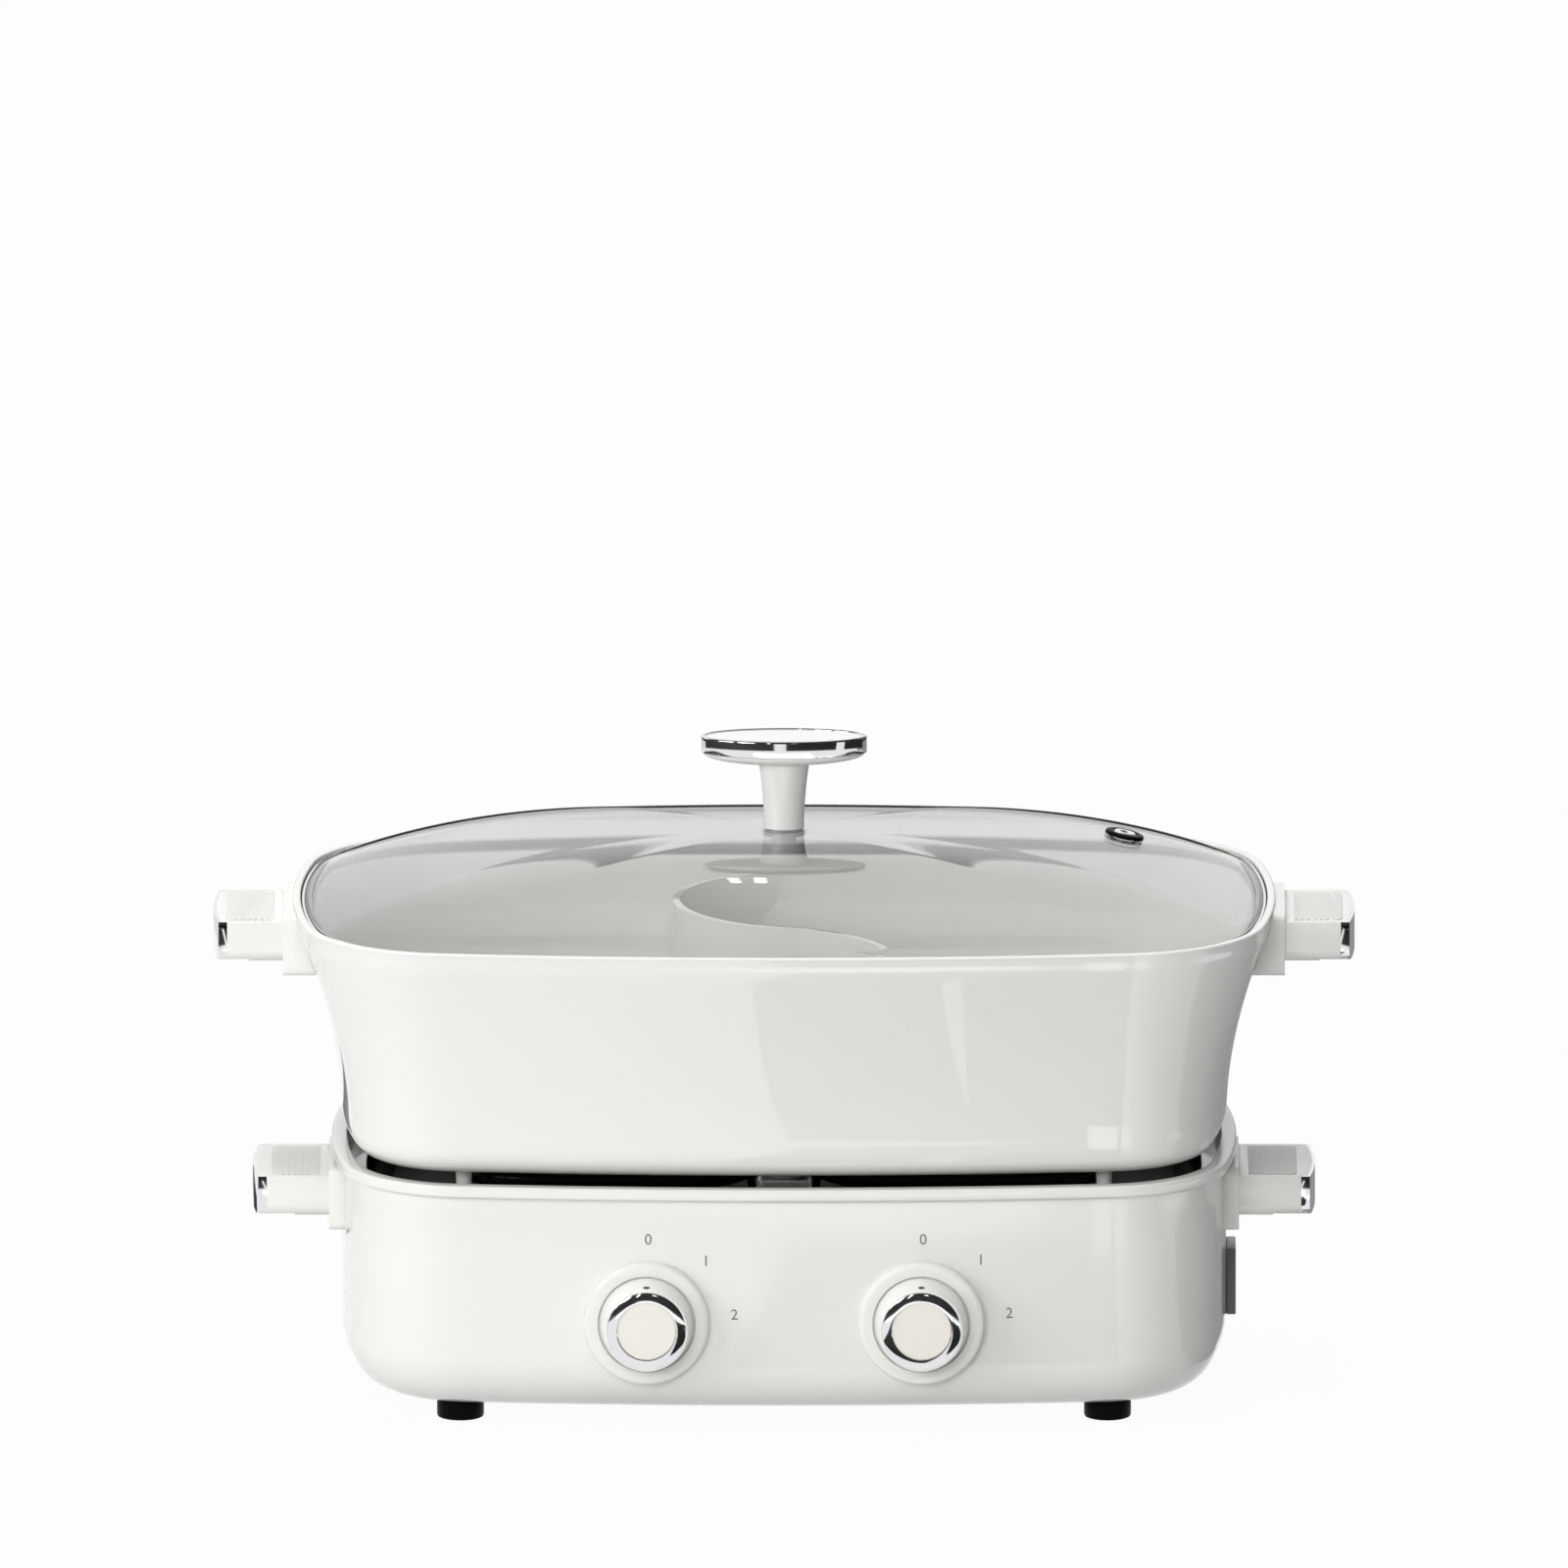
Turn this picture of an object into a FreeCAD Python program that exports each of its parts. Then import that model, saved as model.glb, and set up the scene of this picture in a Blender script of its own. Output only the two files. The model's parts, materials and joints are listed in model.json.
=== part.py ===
"""Electric hot pot: heating base, two-compartment pot and glass lid, assembled.

Millimetres. X runs along the length, Y from front to back, Z up. The origin is on the table, under
the middle of the base. The lid sits in the pot and the pot stands on the heaters.
"""
import FreeCAD, Part
import math
import os

V = FreeCAD.Vector
UP = V(0, 0, 1)
RIGHT = V(1, 0, 0)
FRONT = V(0, -1, 0)
SIDES = (("left", -1), ("right", 1))

# ---- fits ------------------------------------------------------------------------------------
FREE_GAP = 0.3          # between pieces that lift or press past each other
SHAFT_GAP = 0.06        # radial, dial shaft in its switch bush
HOLE_GAP = 0.15         # radial, a fixed pin or screw in its hole
PANEL_GAP = 0.2         # round an inserted panel

# ---- base housing ----------------------------------------------------------------------------
FOOT_HEIGHT = 8.6
FOOT_RADIUS = 9.6
FOOT_PLUG_RADIUS = 3.2
FOOT_FROM_END = 48.8
FOOT_FROM_SIDE = 37.0
BODY_LENGTH = 361.6
BODY_WIDTH = 206.0
BODY_HEIGHT = 95.4
BODY_LONG_BOW = 1300.0      # radius of the bowed front and back
BODY_SHORT_BOW = 350.0      # radius of the bowed ends
BODY_CORNER = 50.0
BODY_BOTTOM_ROUND = 21.0
SHELL_WALL = 2.4
FLANGE_OVERHANG = 4.0
FLANGE_HEIGHT = 4.5
FLANGE_ROUND = 1.2
LEDGE_DEPTH = 13.0
LEDGE_WIDTH = 8.0
COVER_INSET = 42.0
COVER_THICKNESS = 2.4
COVER_LIP = 7.0

# ---- heat tray -------------------------------------------------------------------------------
TRAY_SHEET = 1.6
TRAY_DEPTH = 9.6            # from the ledge's underside to the tray's low channel
TRAY_FLANGE = 5.0
TRAY_ROUND = 5.0
TRAY_STEP = 1.5             # raised middle of the tray floor
TRAY_CHANNEL = 9.0          # low channel between the tray wall and its raised middle

# ---- tube heaters ----------------------------------------------------------------------------
HEATER_TUBE = 8.0           # tube diameter
HEATER_INNER_X = 15.2       # tube axis nearest the middle of the base
HEATER_FROM_END = 50.0       # tube axis from the ends of the base
HEATER_FROM_SIDE = 39.0      # tube axis from the front and back of the base
HEATER_RUN_Y = 17.0         # tube axis of the inner runs
HEATER_CORNER = 26.0
HEATER_DROP = 8.0           # how far the inner runs step down to their terminals
HEATER_DROP_X = 41.6        # where the step down starts
HEATER_DROP_LENGTH = 12.0
HEATER_TOP_BELOW_RIM = 1.0
TERMINAL_PIN = 4.0
TERMINAL_LENGTH = 24.0

# ---- thermostats -----------------------------------------------------------------------------
HOUSING_FROM_DROP = 17.4     # from the tube's step down to the face that takes its ends
HOUSING_FROM_SIDE_RUN = 15.8 # from the tube's run along the end to the housing
HOUSING_WIDTH = 58.0
HOUSING_HEIGHT = 15.0
HOUSING_ROUND = 4.0
TUBE_SOCKET_DEPTH = 6.0
CAPSULE_RADIUS = 10.0
PLATE_SHEET = 1.2
PLATE_BEND = 4.5
PLATE_BELOW_HEATER = 0.4
SLOT_COUNT = 3
SLOT_PITCH = 15.0
SLOT_WIDTH = 3.6
SLOT_FROM_OUTER_FOLD = 15.0
PLATE_OVERHANG = 3.0        # plate beyond the housing in depth

# ---- centre sensor ---------------------------------------------------------------------------
SENSOR_FROM_FRONT = 40.0
SLEEVE_RADIUS = 15.0
SLEEVE_WALL = 1.4
SLEEVE_FLOOR = 2.0
SLEEVE_BELOW_RIM = 0.8
SLEEVE_EAR = 4.2            # radius of the fixing ears
SLEEVE_SCREW_X = 18.4
CAP_RADIUS = 12.2
CAP_CHAMFER = 1.4
CAP_THICKNESS = 5.0
CAP_STEM_RADIUS = 4.0
CAP_TRAVEL = 3.0
SPRING_WIRE = 1.2
SPRING_RADIUS = 7.0
SPRING_TURNS = 4
SPRING_SIDES = 8            # flats round the wire

# ---- locating pins and sockets ---------------------------------------------------------------
PIN_FROM_END = 50.3
PIN_FROM_SIDE = 33.0
PIN_LENGTH = 21.0
PIN_ROOT_RADIUS = 3.5
PIN_TIP_RADIUS = 2.5
PIN_COLLAR_RADIUS = 5.5
PIN_COLLAR = 1.2
SOCKET_RADIUS = 10.5
SOCKET_STEM_RADIUS = 6.6
SOCKET_STEM_ROOM = 2.2      # radial, from the stem to its hole in the tray
SOCKET_STEM = 6.5
SOCKET_BELOW_RIM = 11.0
SOCKET_FLOOR = 2.0
SOCKET_CHAMFER = 1.4

# ---- dials -----------------------------------------------------------------------------------
DIAL_X = 56.0
DIAL_ABOVE_BOTTOM = 39.4
BEZEL_RADIUS = 25.5
BEZEL_STANDOFF = 4.0
BEZEL_ROUND = 1.6
BEZEL_RECESS = 1.6
KNOB_BASE_RADIUS = 19.3
KNOB_RADIUS = 17.0          # at the front
KNOB_REACH = 16.0           # front of the knob from the wall's furthest point
KNOB_ROUND = 0.7
RING_RADIUS = 16.0
RING_INNER_RADIUS = 12.0
RING_PROUD = 0.8
RING_SEAT = 1.6
RING_BEVEL = 0.7
CENTRE_PROUD = 0.4
SHAFT_RADIUS = 3.0
SHAFT_LENGTH = 22.0
BUSH_RADIUS = 5.0
SWITCH_WIDTH = 28.0
SWITCH_DEPTH = 24.0
SWITCH_ROUND = 3.0

# ---- appliance inlet -------------------------------------------------------------------------
INLET_ABOVE_BOTTOM = 34.6
INLET_WIDTH = 23.0
INLET_HEIGHT = 27.6
INLET_PROUD = 3.8
INLET_BODY_WIDTH = 19.0
INLET_BODY_HEIGHT = 23.6
INLET_BODY_DEPTH = 22.0
INLET_WALL = 2.0
INLET_RECESS = 17.0
INLET_PIN_COUNT = 3
INLET_PIN_PITCH = 7.0
INLET_PIN_WIDTH = 4.0
INLET_PIN_THICKNESS = 1.6
INLET_PIN_LENGTH = 12.0

# ---- handles, the same on base and pot -------------------------------------------------------
GRIP_WIDTH = 58.0
GRIP_THICKNESS = 16.4
GRIP_END_BOW = 183.0
GRIP_UNDER_ROUND = 4.5
GRIP_TOP_ROUND = 0.8
BAND_SHEET = 1.2
BAND_RETURN = 4.6           # how far the band comes back along the grip's sides
BRACKET_SIDE = 1.2          # bracket beyond the grip on each side
BRACKET_RISE = 3.6          # bracket above the grip
BRACKET_DROP = 6.2          # bracket below the grip
BRACKET_ROUND = 3.0
BRACKET_TONGUE = 14.0
BRACKET_TONGUE_THICKNESS = 1.7
BRACKET_TONGUE_WIDTH = 40.0
PAD_START = 4.0
PAD_LENGTH = 19.5
PAD_WIDTH = 50.0
PAD_SEAT = 1.0
PAD_PROUD = 0.3
PAD_CORNER = 4.0
SCALLOP_COUNT = 6
SCALLOP_PITCH = 2.6
SCALLOP_RADIUS = 1.1
BASE_GRIP_STANDOFF = 5.0
BASE_GRIP_LENGTH = 31.2
BASE_GRIP_BELOW_RIM = 12.5
POT_GRIP_STANDOFF = 3.8
POT_GRIP_LENGTH = 28.6
POT_GRIP_BELOW_RIM = 5.2
FIXING_RADIUS = 2.0
FIXING_PITCH = 28.0
FIXING_HEAD = 3.8
FIXING_HEAD_HEIGHT = 2.2
FIXING_DEPTH = 9.0          # how far the fixing goes into the grip

# ---- pot -------------------------------------------------------------------------------------
SPREADER_THICKNESS = 3.0
SPREADER_PAST_ENDS = 0.2      # beyond the heater tube
SPREADER_PAST_SIDES = 10.0
SPREADER_CORNER = 50.0
POT_HEIGHT = 97.0
POT_OVER_LENGTH = 0.4        # pot's length below the flare, beyond the base's
POT_UNDER_WIDTH = 4.0        # pot's width below the flare, short of the base's
POT_FLARE = 19.6            # growth of the half length from body to rim
POT_FLARE_DEPTH = 0.81      # growth in depth for each unit of growth in length
POT_LIP = 8.0               # upright lip above the lid ledge
POT_LIP_FLARE = 1.2
POT_FLARE_START = 9.0       # height where the wall starts to flare
POT_FLARE_POWER = 1.8
POT_LONG_BOW = 1250.0
POT_SHORT_BOW = 340.0
POT_CORNER = 46.0
POT_CORNER_GROWTH = 0.8     # corner radius gained for each unit of flare
POT_WALL = 2.8
POT_FLOOR = 3.0
POT_BOTTOM_ROUND = 12.0
LID_SEAT_WALL = 2.0         # lip wall beside the lid
LID_LEDGE = 6.6
DIVIDER_WALL = 3.0
DIVIDER_PAST_WALL = 8.0      # chord of each half of the S, beyond half the pot's width
DIVIDER_BULGE = 44.0
DIVIDER_BELOW_RIM = 16.0

# ---- lid -------------------------------------------------------------------------------------
SEAL_HEIGHT = 5.7
SEAL_WIDTH = 6.0
SEAL_LIP = 1.6
SEAL_STEP = 2.6
TRIM_HEIGHT = 0.7
GLASS_THICKNESS = 4.0
GLASS_EDGE_HEIGHT = 4.6
GLASS_DOME = 28.6
GLASS_DOME_POWER = 3.0
GLASS_CROWN = 0.09          # flat crown, as a share of the lid's outline
STEM_HEIGHT = 27.7
STEM_FOOT_LENGTH = 16.4
STEM_FOOT_WIDTH = 13.0
STEM_HEAD_LENGTH = 21.0
STEM_HEAD_WIDTH = 16.0
TOP_LENGTH = 67.6
TOP_WIDTH = 27.0
DISH_HEIGHT = 3.7
BAND_HEIGHT = 7.2
BAND_WALL = 1.6
BAND_BEVEL = 1.2
INSERT_RECESS = 0.4
LID_SCREW_RADIUS = 2.5
LID_SCREW_GRIP = 14.0
LID_SCREW_HEAD = 5.0
LID_SCREW_HEAD_HEIGHT = 3.0
LID_WASHER_RADIUS = 9.0
LID_WASHER = 1.6
VENT_FROM_END = 42.0
VENT_FROM_SIDE = 72.0
VENT_FLANGE_RADIUS = 8.0
VENT_FLANGE = 1.6
VENT_TUBE_RADIUS = 4.6
VENT_HOLE_RADIUS = 1.8
VENT_NUT_RADIUS = 6.6
VENT_NUT = 1.8
VENT_SEAT_GAP = 0.25      # flat flange and nut off the curved glass

# ---- heights and places that follow ----------------------------------------------------------
BODY_BOTTOM = FOOT_HEIGHT
RIM_Z = BODY_BOTTOM + BODY_HEIGHT
HALF_LENGTH = BODY_LENGTH / 2
HALF_WIDTH = BODY_WIDTH / 2
FOOT_X = HALF_LENGTH - FOOT_FROM_END
FOOT_Y = HALF_WIDTH - FOOT_FROM_SIDE
DIAL_Z = BODY_BOTTOM + DIAL_ABOVE_BOTTOM
INLET_Z = BODY_BOTTOM + INLET_ABOVE_BOTTOM
SENSOR_Y = SENSOR_FROM_FRONT - HALF_WIDTH
PIN_X = HALF_LENGTH - PIN_FROM_END
PIN_Y = HALF_WIDTH - PIN_FROM_SIDE
HEATER_OUTER_X = HALF_LENGTH - HEATER_FROM_END
HEATER_HALF_DEPTH = HALF_WIDTH - HEATER_FROM_SIDE
HOUSING_X = HEATER_DROP_X + HEATER_DROP_LENGTH + HOUSING_FROM_DROP
HOUSING_LENGTH = HEATER_OUTER_X - HEATER_TUBE / 2 - HOUSING_FROM_SIDE_RUN - HOUSING_X
SLOT_LENGTH = HOUSING_LENGTH - SLOT_FROM_OUTER_FOLD
SPREADER_X = (HEATER_INNER_X + HEATER_OUTER_X) / 2
SPREADER_LENGTH = HEATER_OUTER_X - HEATER_INNER_X + HEATER_TUBE + 2 * SPREADER_PAST_ENDS
SPREADER_WIDTH = 2 * (HEATER_HALF_DEPTH + HEATER_TUBE / 2 + SPREADER_PAST_SIDES)
POT_LENGTH = BODY_LENGTH + POT_OVER_LENGTH
POT_WIDTH = BODY_WIDTH - POT_UNDER_WIDTH
DIVIDER_SPAN = POT_WIDTH / 2 + DIVIDER_PAST_WALL
VENT_X = POT_LENGTH / 2 - VENT_FROM_END
VENT_Y = POT_WIDTH / 2 - VENT_FROM_SIDE
BASE_GRIP_X = HALF_LENGTH + BASE_GRIP_STANDOFF
BASE_GRIP_TOP = RIM_Z - BASE_GRIP_BELOW_RIM
POT_GRIP_X = POT_LENGTH / 2 + POT_FLARE + POT_GRIP_STANDOFF
LEDGE_TOP = RIM_Z - LEDGE_DEPTH
LEDGE_UNDER = LEDGE_TOP - SHELL_WALL
COVER_TOP = BODY_BOTTOM + COVER_THICKNESS
LIP_TOP = COVER_TOP + SHELL_WALL
TRAY_LOW = LEDGE_UNDER - TRAY_DEPTH
TRAY_FLOOR = TRAY_LOW + TRAY_STEP
HEATER_Z = RIM_Z - HEATER_TOP_BELOW_RIM - HEATER_TUBE / 2
TERMINAL_Z = HEATER_Z - HEATER_DROP
HEATER_TOP = HEATER_Z + HEATER_TUBE / 2
SPREADER_UNDER = HEATER_TOP + FREE_GAP
POT_UNDER = SPREADER_UNDER + SPREADER_THICKNESS
POT_RIM = POT_UNDER + POT_HEIGHT
SEAL_UNDER = POT_RIM - POT_LIP + FREE_GAP
GLASS_UNDER = SEAL_UNDER + SEAL_STEP
GLASS_EDGE_TOP = GLASS_UNDER + GLASS_EDGE_HEIGHT
CROWN_TOP = GLASS_EDGE_TOP + GLASS_DOME * (1 - GLASS_CROWN ** GLASS_DOME_POWER)
PLATE_TOP = HEATER_TOP - PLATE_BELOW_HEATER
WALL_FRONT = -HALF_WIDTH

BODY = (HALF_LENGTH, HALF_WIDTH, BODY_LONG_BOW, BODY_SHORT_BOW, BODY_CORNER)
BELOW = 200.0               # longer than any cut
os.makedirs("parts", exist_ok=True)


# ---- shared shapes ---------------------------------------------------------------------------
def save(name, *shapes):
    """Write one node; several solids become one group."""
    shape = shapes[0] if len(shapes) == 1 else Part.makeCompound(list(shapes))
    shape.exportStep("parts/" + name + ".step")


def grown(outline, gap):
    """The parallel outline a gap outside this one."""
    return tuple(size + gap for size in outline)


def arc(start, middle, end):
    return Part.Arc(start, middle, end).toShape()


def bowed_wire(outline, z):
    """Rounded rectangle with bowed sides: eight arcs, each tangent to the next."""
    half_x, half_y, long_bow, short_bow, corner = outline
    long_centre = V(0, half_y - long_bow, 0)
    short_centre = V(half_x - short_bow, 0, 0)
    reach_long = long_bow - corner
    reach_short = short_bow - corner
    between = short_centre - long_centre
    span = between.Length
    along = (reach_long ** 2 - reach_short ** 2 + span ** 2) / (2 * span)
    across = math.sqrt(reach_long ** 2 - along ** 2)
    direction = between.normalize()
    normal = V(direction.y, -direction.x, 0)
    corner_centre = long_centre + direction * along + normal * across
    to_long = (corner_centre - long_centre).normalize()
    to_short = (corner_centre - short_centre).normalize()
    top = corner_centre + to_long * corner
    side = corner_centre + to_short * corner
    middle = corner_centre + (to_long + to_short).normalize() * corner
    edges = []
    signs = ((1, 1), (-1, 1), (-1, -1), (1, -1))
    for index, (sx, sy) in enumerate(signs):
        next_x, next_y = signs[(index + 1) % len(signs)]
        first, second = (side, top) if sx * sy > 0 else (top, side)
        start = V(first.x * sx, first.y * sy, z)
        turn = V(middle.x * sx, middle.y * sy, z)
        end = V(second.x * sx, second.y * sy, z)
        onward = V(second.x * next_x, second.y * next_y, z)
        bow = V(0, half_y * sy, z) if next_x != sx else V(half_x * sx, 0, z)
        edges.append(arc(start, turn, end))
        edges.append(arc(end, bow, onward))
    return Part.Wire(edges)


def prism(outline, bottom, top):
    """The outline's upright solid between two heights."""
    return Part.Face(bowed_wire(outline, bottom)).extrude(UP * (top - bottom))


def edges_at(shape, z):
    """The edges that lie flat at one height."""
    flat = []
    for edge in shape.Edges:
        box = edge.BoundBox
        if abs(box.ZMin - z) < 1e-4 and abs(box.ZMax - z) < 1e-4:
            flat.append(edge)
    return flat


def rounded_at(shape, z, radius):
    return shape.makeFillet(radius, edges_at(shape, z))


def block(x_range, y_range, z_range):
    """Box between three pairs of limits."""
    low = V(x_range[0], y_range[0], z_range[0])
    size = (x_range[1] - x_range[0], y_range[1] - y_range[0], z_range[1] - z_range[0])
    return Part.makeBox(*size, low)


def upright(radius, x, y, bottom, top):
    return Part.makeCylinder(radius, top - bottom, V(x, y, bottom), UP)


def facing_front(radius, x, z, back, front):
    """Cylinder along Y from its back end to its front end."""
    return Part.makeCylinder(radius, back - front, V(x, back, z), FRONT)


def upright_edges(shape, length):
    """The straight edges that run along Z for the given length."""
    found = []
    for edge in shape.Edges:
        box = edge.BoundBox
        if abs(box.ZLength - length) < 1e-4 and box.XLength < 1e-4 and box.YLength < 1e-4:
            found.append(edge)
    return found


def mirrored(shape, side):
    """The right-hand shape, or its mirror image on the left."""
    return shape if side > 0 else shape.mirror(V(0, 0, 0), RIGHT)


def ellipse_wire(length, width, z):
    major = V(length / 2, 0, z)
    minor = V(0, width / 2, z)
    return Part.Wire([Part.Ellipse(major, minor, V(0, 0, z)).toShape()])


def four_corners(x, y):
    return [(sx * x, sy * y) for sx in (-1, 1) for sy in (-1, 1)]


# ---- pot outlines, used by the pot, its divider and its fixings -------------------------------
def pot_outline(flare, inset=0.0):
    """Pot outline where the half length has grown by flare, less a wall."""
    outline = (POT_LENGTH / 2 + flare, POT_WIDTH / 2 + flare * POT_FLARE_DEPTH, POT_LONG_BOW,
               POT_SHORT_BOW, POT_CORNER + flare * POT_CORNER_GROWTH)
    return grown(outline, -inset)


def pot_flare(height):
    """How far the wall has flared at a height above the pot's underside."""
    ledge = POT_HEIGHT - POT_LIP
    ledge_flare = POT_FLARE - POT_LIP_FLARE
    if height >= ledge:
        return ledge_flare + POT_LIP_FLARE * (height - ledge) / POT_LIP
    if height <= POT_FLARE_START:
        return 0.0
    share = (height - POT_FLARE_START) / (ledge - POT_FLARE_START)
    return ledge_flare * share ** POT_FLARE_POWER


def pot_form(inset, floor, heights):
    """Pot-shaped solid: rounded bottom at floor, then the flared wall through the heights."""
    radius = POT_BOTTOM_ROUND - inset
    wires = []
    for turn in (0, 30, 60, 90):
        angle = math.radians(turn)
        shrink = radius * (1 - math.sin(angle))
        rise = floor + radius * (1 - math.cos(angle))
        wires.append(bowed_wire(pot_outline(0, inset + shrink), POT_UNDER + rise))
    for height, extra in heights:
        wires.append(bowed_wire(pot_outline(pot_flare(height), inset + extra), POT_UNDER + height))
    return Part.makeLoft(wires, True, False)


LEDGE_HEIGHT = POT_HEIGHT - POT_LIP
LID_SEAT = pot_outline(POT_FLARE - POT_LIP_FLARE, LID_SEAT_WALL)
wall_rise = [POT_HEIGHT * share for share in (0.28, 0.42, 0.56, 0.7)]
outer_heights = [(height, 0.0) for height in wall_rise + [POT_HEIGHT * 0.82, LEDGE_HEIGHT]]
ledge_extra = LID_SEAT_WALL + LID_LEDGE - POT_WALL
inner_heights = [(height, 0.0) for height in wall_rise]
inner_heights.append((POT_HEIGHT * 0.82, ledge_extra * 0.45))
inner_heights.append((LEDGE_HEIGHT, ledge_extra))
pot_wall = pot_form(0.0, 0.0, outer_heights)
lip_wires = [bowed_wire(pot_outline(pot_flare(height)), POT_UNDER + height)
             for height in (LEDGE_HEIGHT, POT_HEIGHT)]
pot_outside = pot_wall.fuse(Part.makeLoft(lip_wires, True, True))
pot_inside = pot_form(POT_WALL, POT_FLOOR, inner_heights)


# ---- base housing ----------------------------------------------------------------------------
def base_shell():
    """Pressed housing: rounded bottom, rolled rim flange, tray ledge and rebated bottom."""
    body = rounded_at(prism(BODY, BODY_BOTTOM, RIM_Z), BODY_BOTTOM, BODY_BOTTOM_ROUND)
    flange = prism(grown(BODY, FLANGE_OVERHANG), RIM_Z - FLANGE_HEIGHT, RIM_Z)
    flange = rounded_at(flange, RIM_Z, FLANGE_ROUND)
    shell = body.fuse(flange)
    inner_round = BODY_BOTTOM_ROUND - SHELL_WALL - COVER_THICKNESS
    room = rounded_at(prism(grown(BODY, -SHELL_WALL), LIP_TOP, LEDGE_UNDER), LIP_TOP, inner_round)
    shell = shell.cut(room)
    shell = shell.cut(prism(grown(BODY, -SHELL_WALL), LEDGE_TOP, RIM_Z + 1))
    shell = shell.cut(prism(grown(BODY, -SHELL_WALL - LEDGE_WIDTH), LEDGE_UNDER - 1, LEDGE_TOP + 1))
    shell = shell.cut(prism(grown(BODY, -COVER_INSET), BODY_BOTTOM - 1, COVER_TOP))
    shell = shell.cut(prism(grown(BODY, -COVER_INSET - COVER_LIP), COVER_TOP - 1, LIP_TOP + 1))
    for x in (-DIAL_X, DIAL_X):
        shell = shell.cut(facing_front(BUSH_RADIUS + HOLE_GAP, x, DIAL_Z, 0, WALL_FRONT - 1))
    half_y = INLET_BODY_WIDTH / 2 + HOLE_GAP
    half_z = INLET_BODY_HEIGHT / 2 + HOLE_GAP
    shell = shell.cut(block((0, BASE_GRIP_X), (-half_y, half_y), (INLET_Z - half_z, INLET_Z + half_z)))
    for x, y in cover_screw_places():
        shell = shell.cut(upright(FIXING_RADIUS + HOLE_GAP, x, y, COVER_TOP - 1, LIP_TOP + 1))
    for x, y in four_corners(FOOT_X, FOOT_Y):
        shell = shell.cut(upright(FOOT_PLUG_RADIUS + HOLE_GAP, x, y, 0, LIP_TOP + 1))
    for hole in fixing_cylinders(BASE_GRIP_X, BASE_GRIP_TOP, FIXING_RADIUS + HOLE_GAP, 0):
        shell = shell.cut(hole)
        shell = shell.cut(mirrored(hole, -1))
    return shell


def cover_screw_places():
    """Screws through the middle of the cover's lip, on the long sides and the ends."""
    inset = COVER_INSET + COVER_LIP / 2
    end_x = HALF_LENGTH - inset
    side_y = HALF_WIDTH - inset
    places = [(-end_x, 0), (end_x, 0)]
    for x in (-DIAL_X, DIAL_X):
        sag = BODY_LONG_BOW - math.sqrt(BODY_LONG_BOW ** 2 - x ** 2)
        places.append((x, side_y - sag))
        places.append((x, sag - side_y))
    return places


def bottom_cover():
    cover = prism(grown(BODY, -COVER_INSET - PANEL_GAP), BODY_BOTTOM, COVER_TOP)
    for x, y in cover_screw_places():
        cover = cover.cut(upright(FIXING_RADIUS + HOLE_GAP, x, y, 0, BELOW))
    return cover


def rubber_feet():
    """Four round feet, each with a plug through the shell's bottom."""
    feet = []
    for x, y in four_corners(FOOT_X, FOOT_Y):
        foot = rounded_at(upright(FOOT_RADIUS, x, y, 0, BODY_BOTTOM), 0, 1.0)
        feet.append(foot.fuse(upright(FOOT_PLUG_RADIUS, x, y, BODY_BOTTOM, LIP_TOP + 1)))
    return feet


def heat_tray():
    """Pressed dish under the ledge: flange, drawn wall, low channel and raised floor."""
    opening = grown(BODY, -SHELL_WALL - LEDGE_WIDTH)
    flange = prism(grown(opening, TRAY_FLANGE), LEDGE_UNDER - TRAY_SHEET, LEDGE_UNDER)
    outside = prism(grown(opening, TRAY_SHEET), TRAY_LOW - TRAY_SHEET, LEDGE_UNDER)
    outside = rounded_at(outside, TRAY_LOW - TRAY_SHEET, TRAY_ROUND + TRAY_SHEET)
    inside = rounded_at(prism(opening, TRAY_LOW, LEDGE_UNDER + 1), TRAY_LOW, TRAY_ROUND)
    raised = grown(opening, -TRAY_CHANNEL)
    middle = prism(raised, TRAY_LOW - 0.1, TRAY_FLOOR)
    middle = middle.makeChamfer(TRAY_STEP * 0.8, edges_at(middle, TRAY_FLOOR))
    hollow = prism(grown(raised, -TRAY_SHEET), TRAY_LOW - TRAY_SHEET - 1, TRAY_FLOOR - TRAY_SHEET)
    tray = flange.fuse(outside).cut(inside).fuse(middle).cut(hollow)
    for x, y in four_corners(PIN_X, PIN_Y):
        tray = tray.cut(upright(SOCKET_STEM_RADIUS + SOCKET_STEM_ROOM, x, y, 0, BELOW))
    tray = tray.cut(upright(CAP_STEM_RADIUS + FREE_GAP, 0, SENSOR_Y, 0, BELOW))
    for x in (-SLEEVE_SCREW_X, SLEEVE_SCREW_X):
        tray = tray.cut(upright(FIXING_RADIUS * 0.75 + HOLE_GAP, x, SENSOR_Y, 0, BELOW))
    for x, y in four_corners(terminal_x(), HEATER_RUN_Y):
        tray = tray.cut(upright(TERMINAL_PIN, x, y, 0, BELOW))
    return tray


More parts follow.
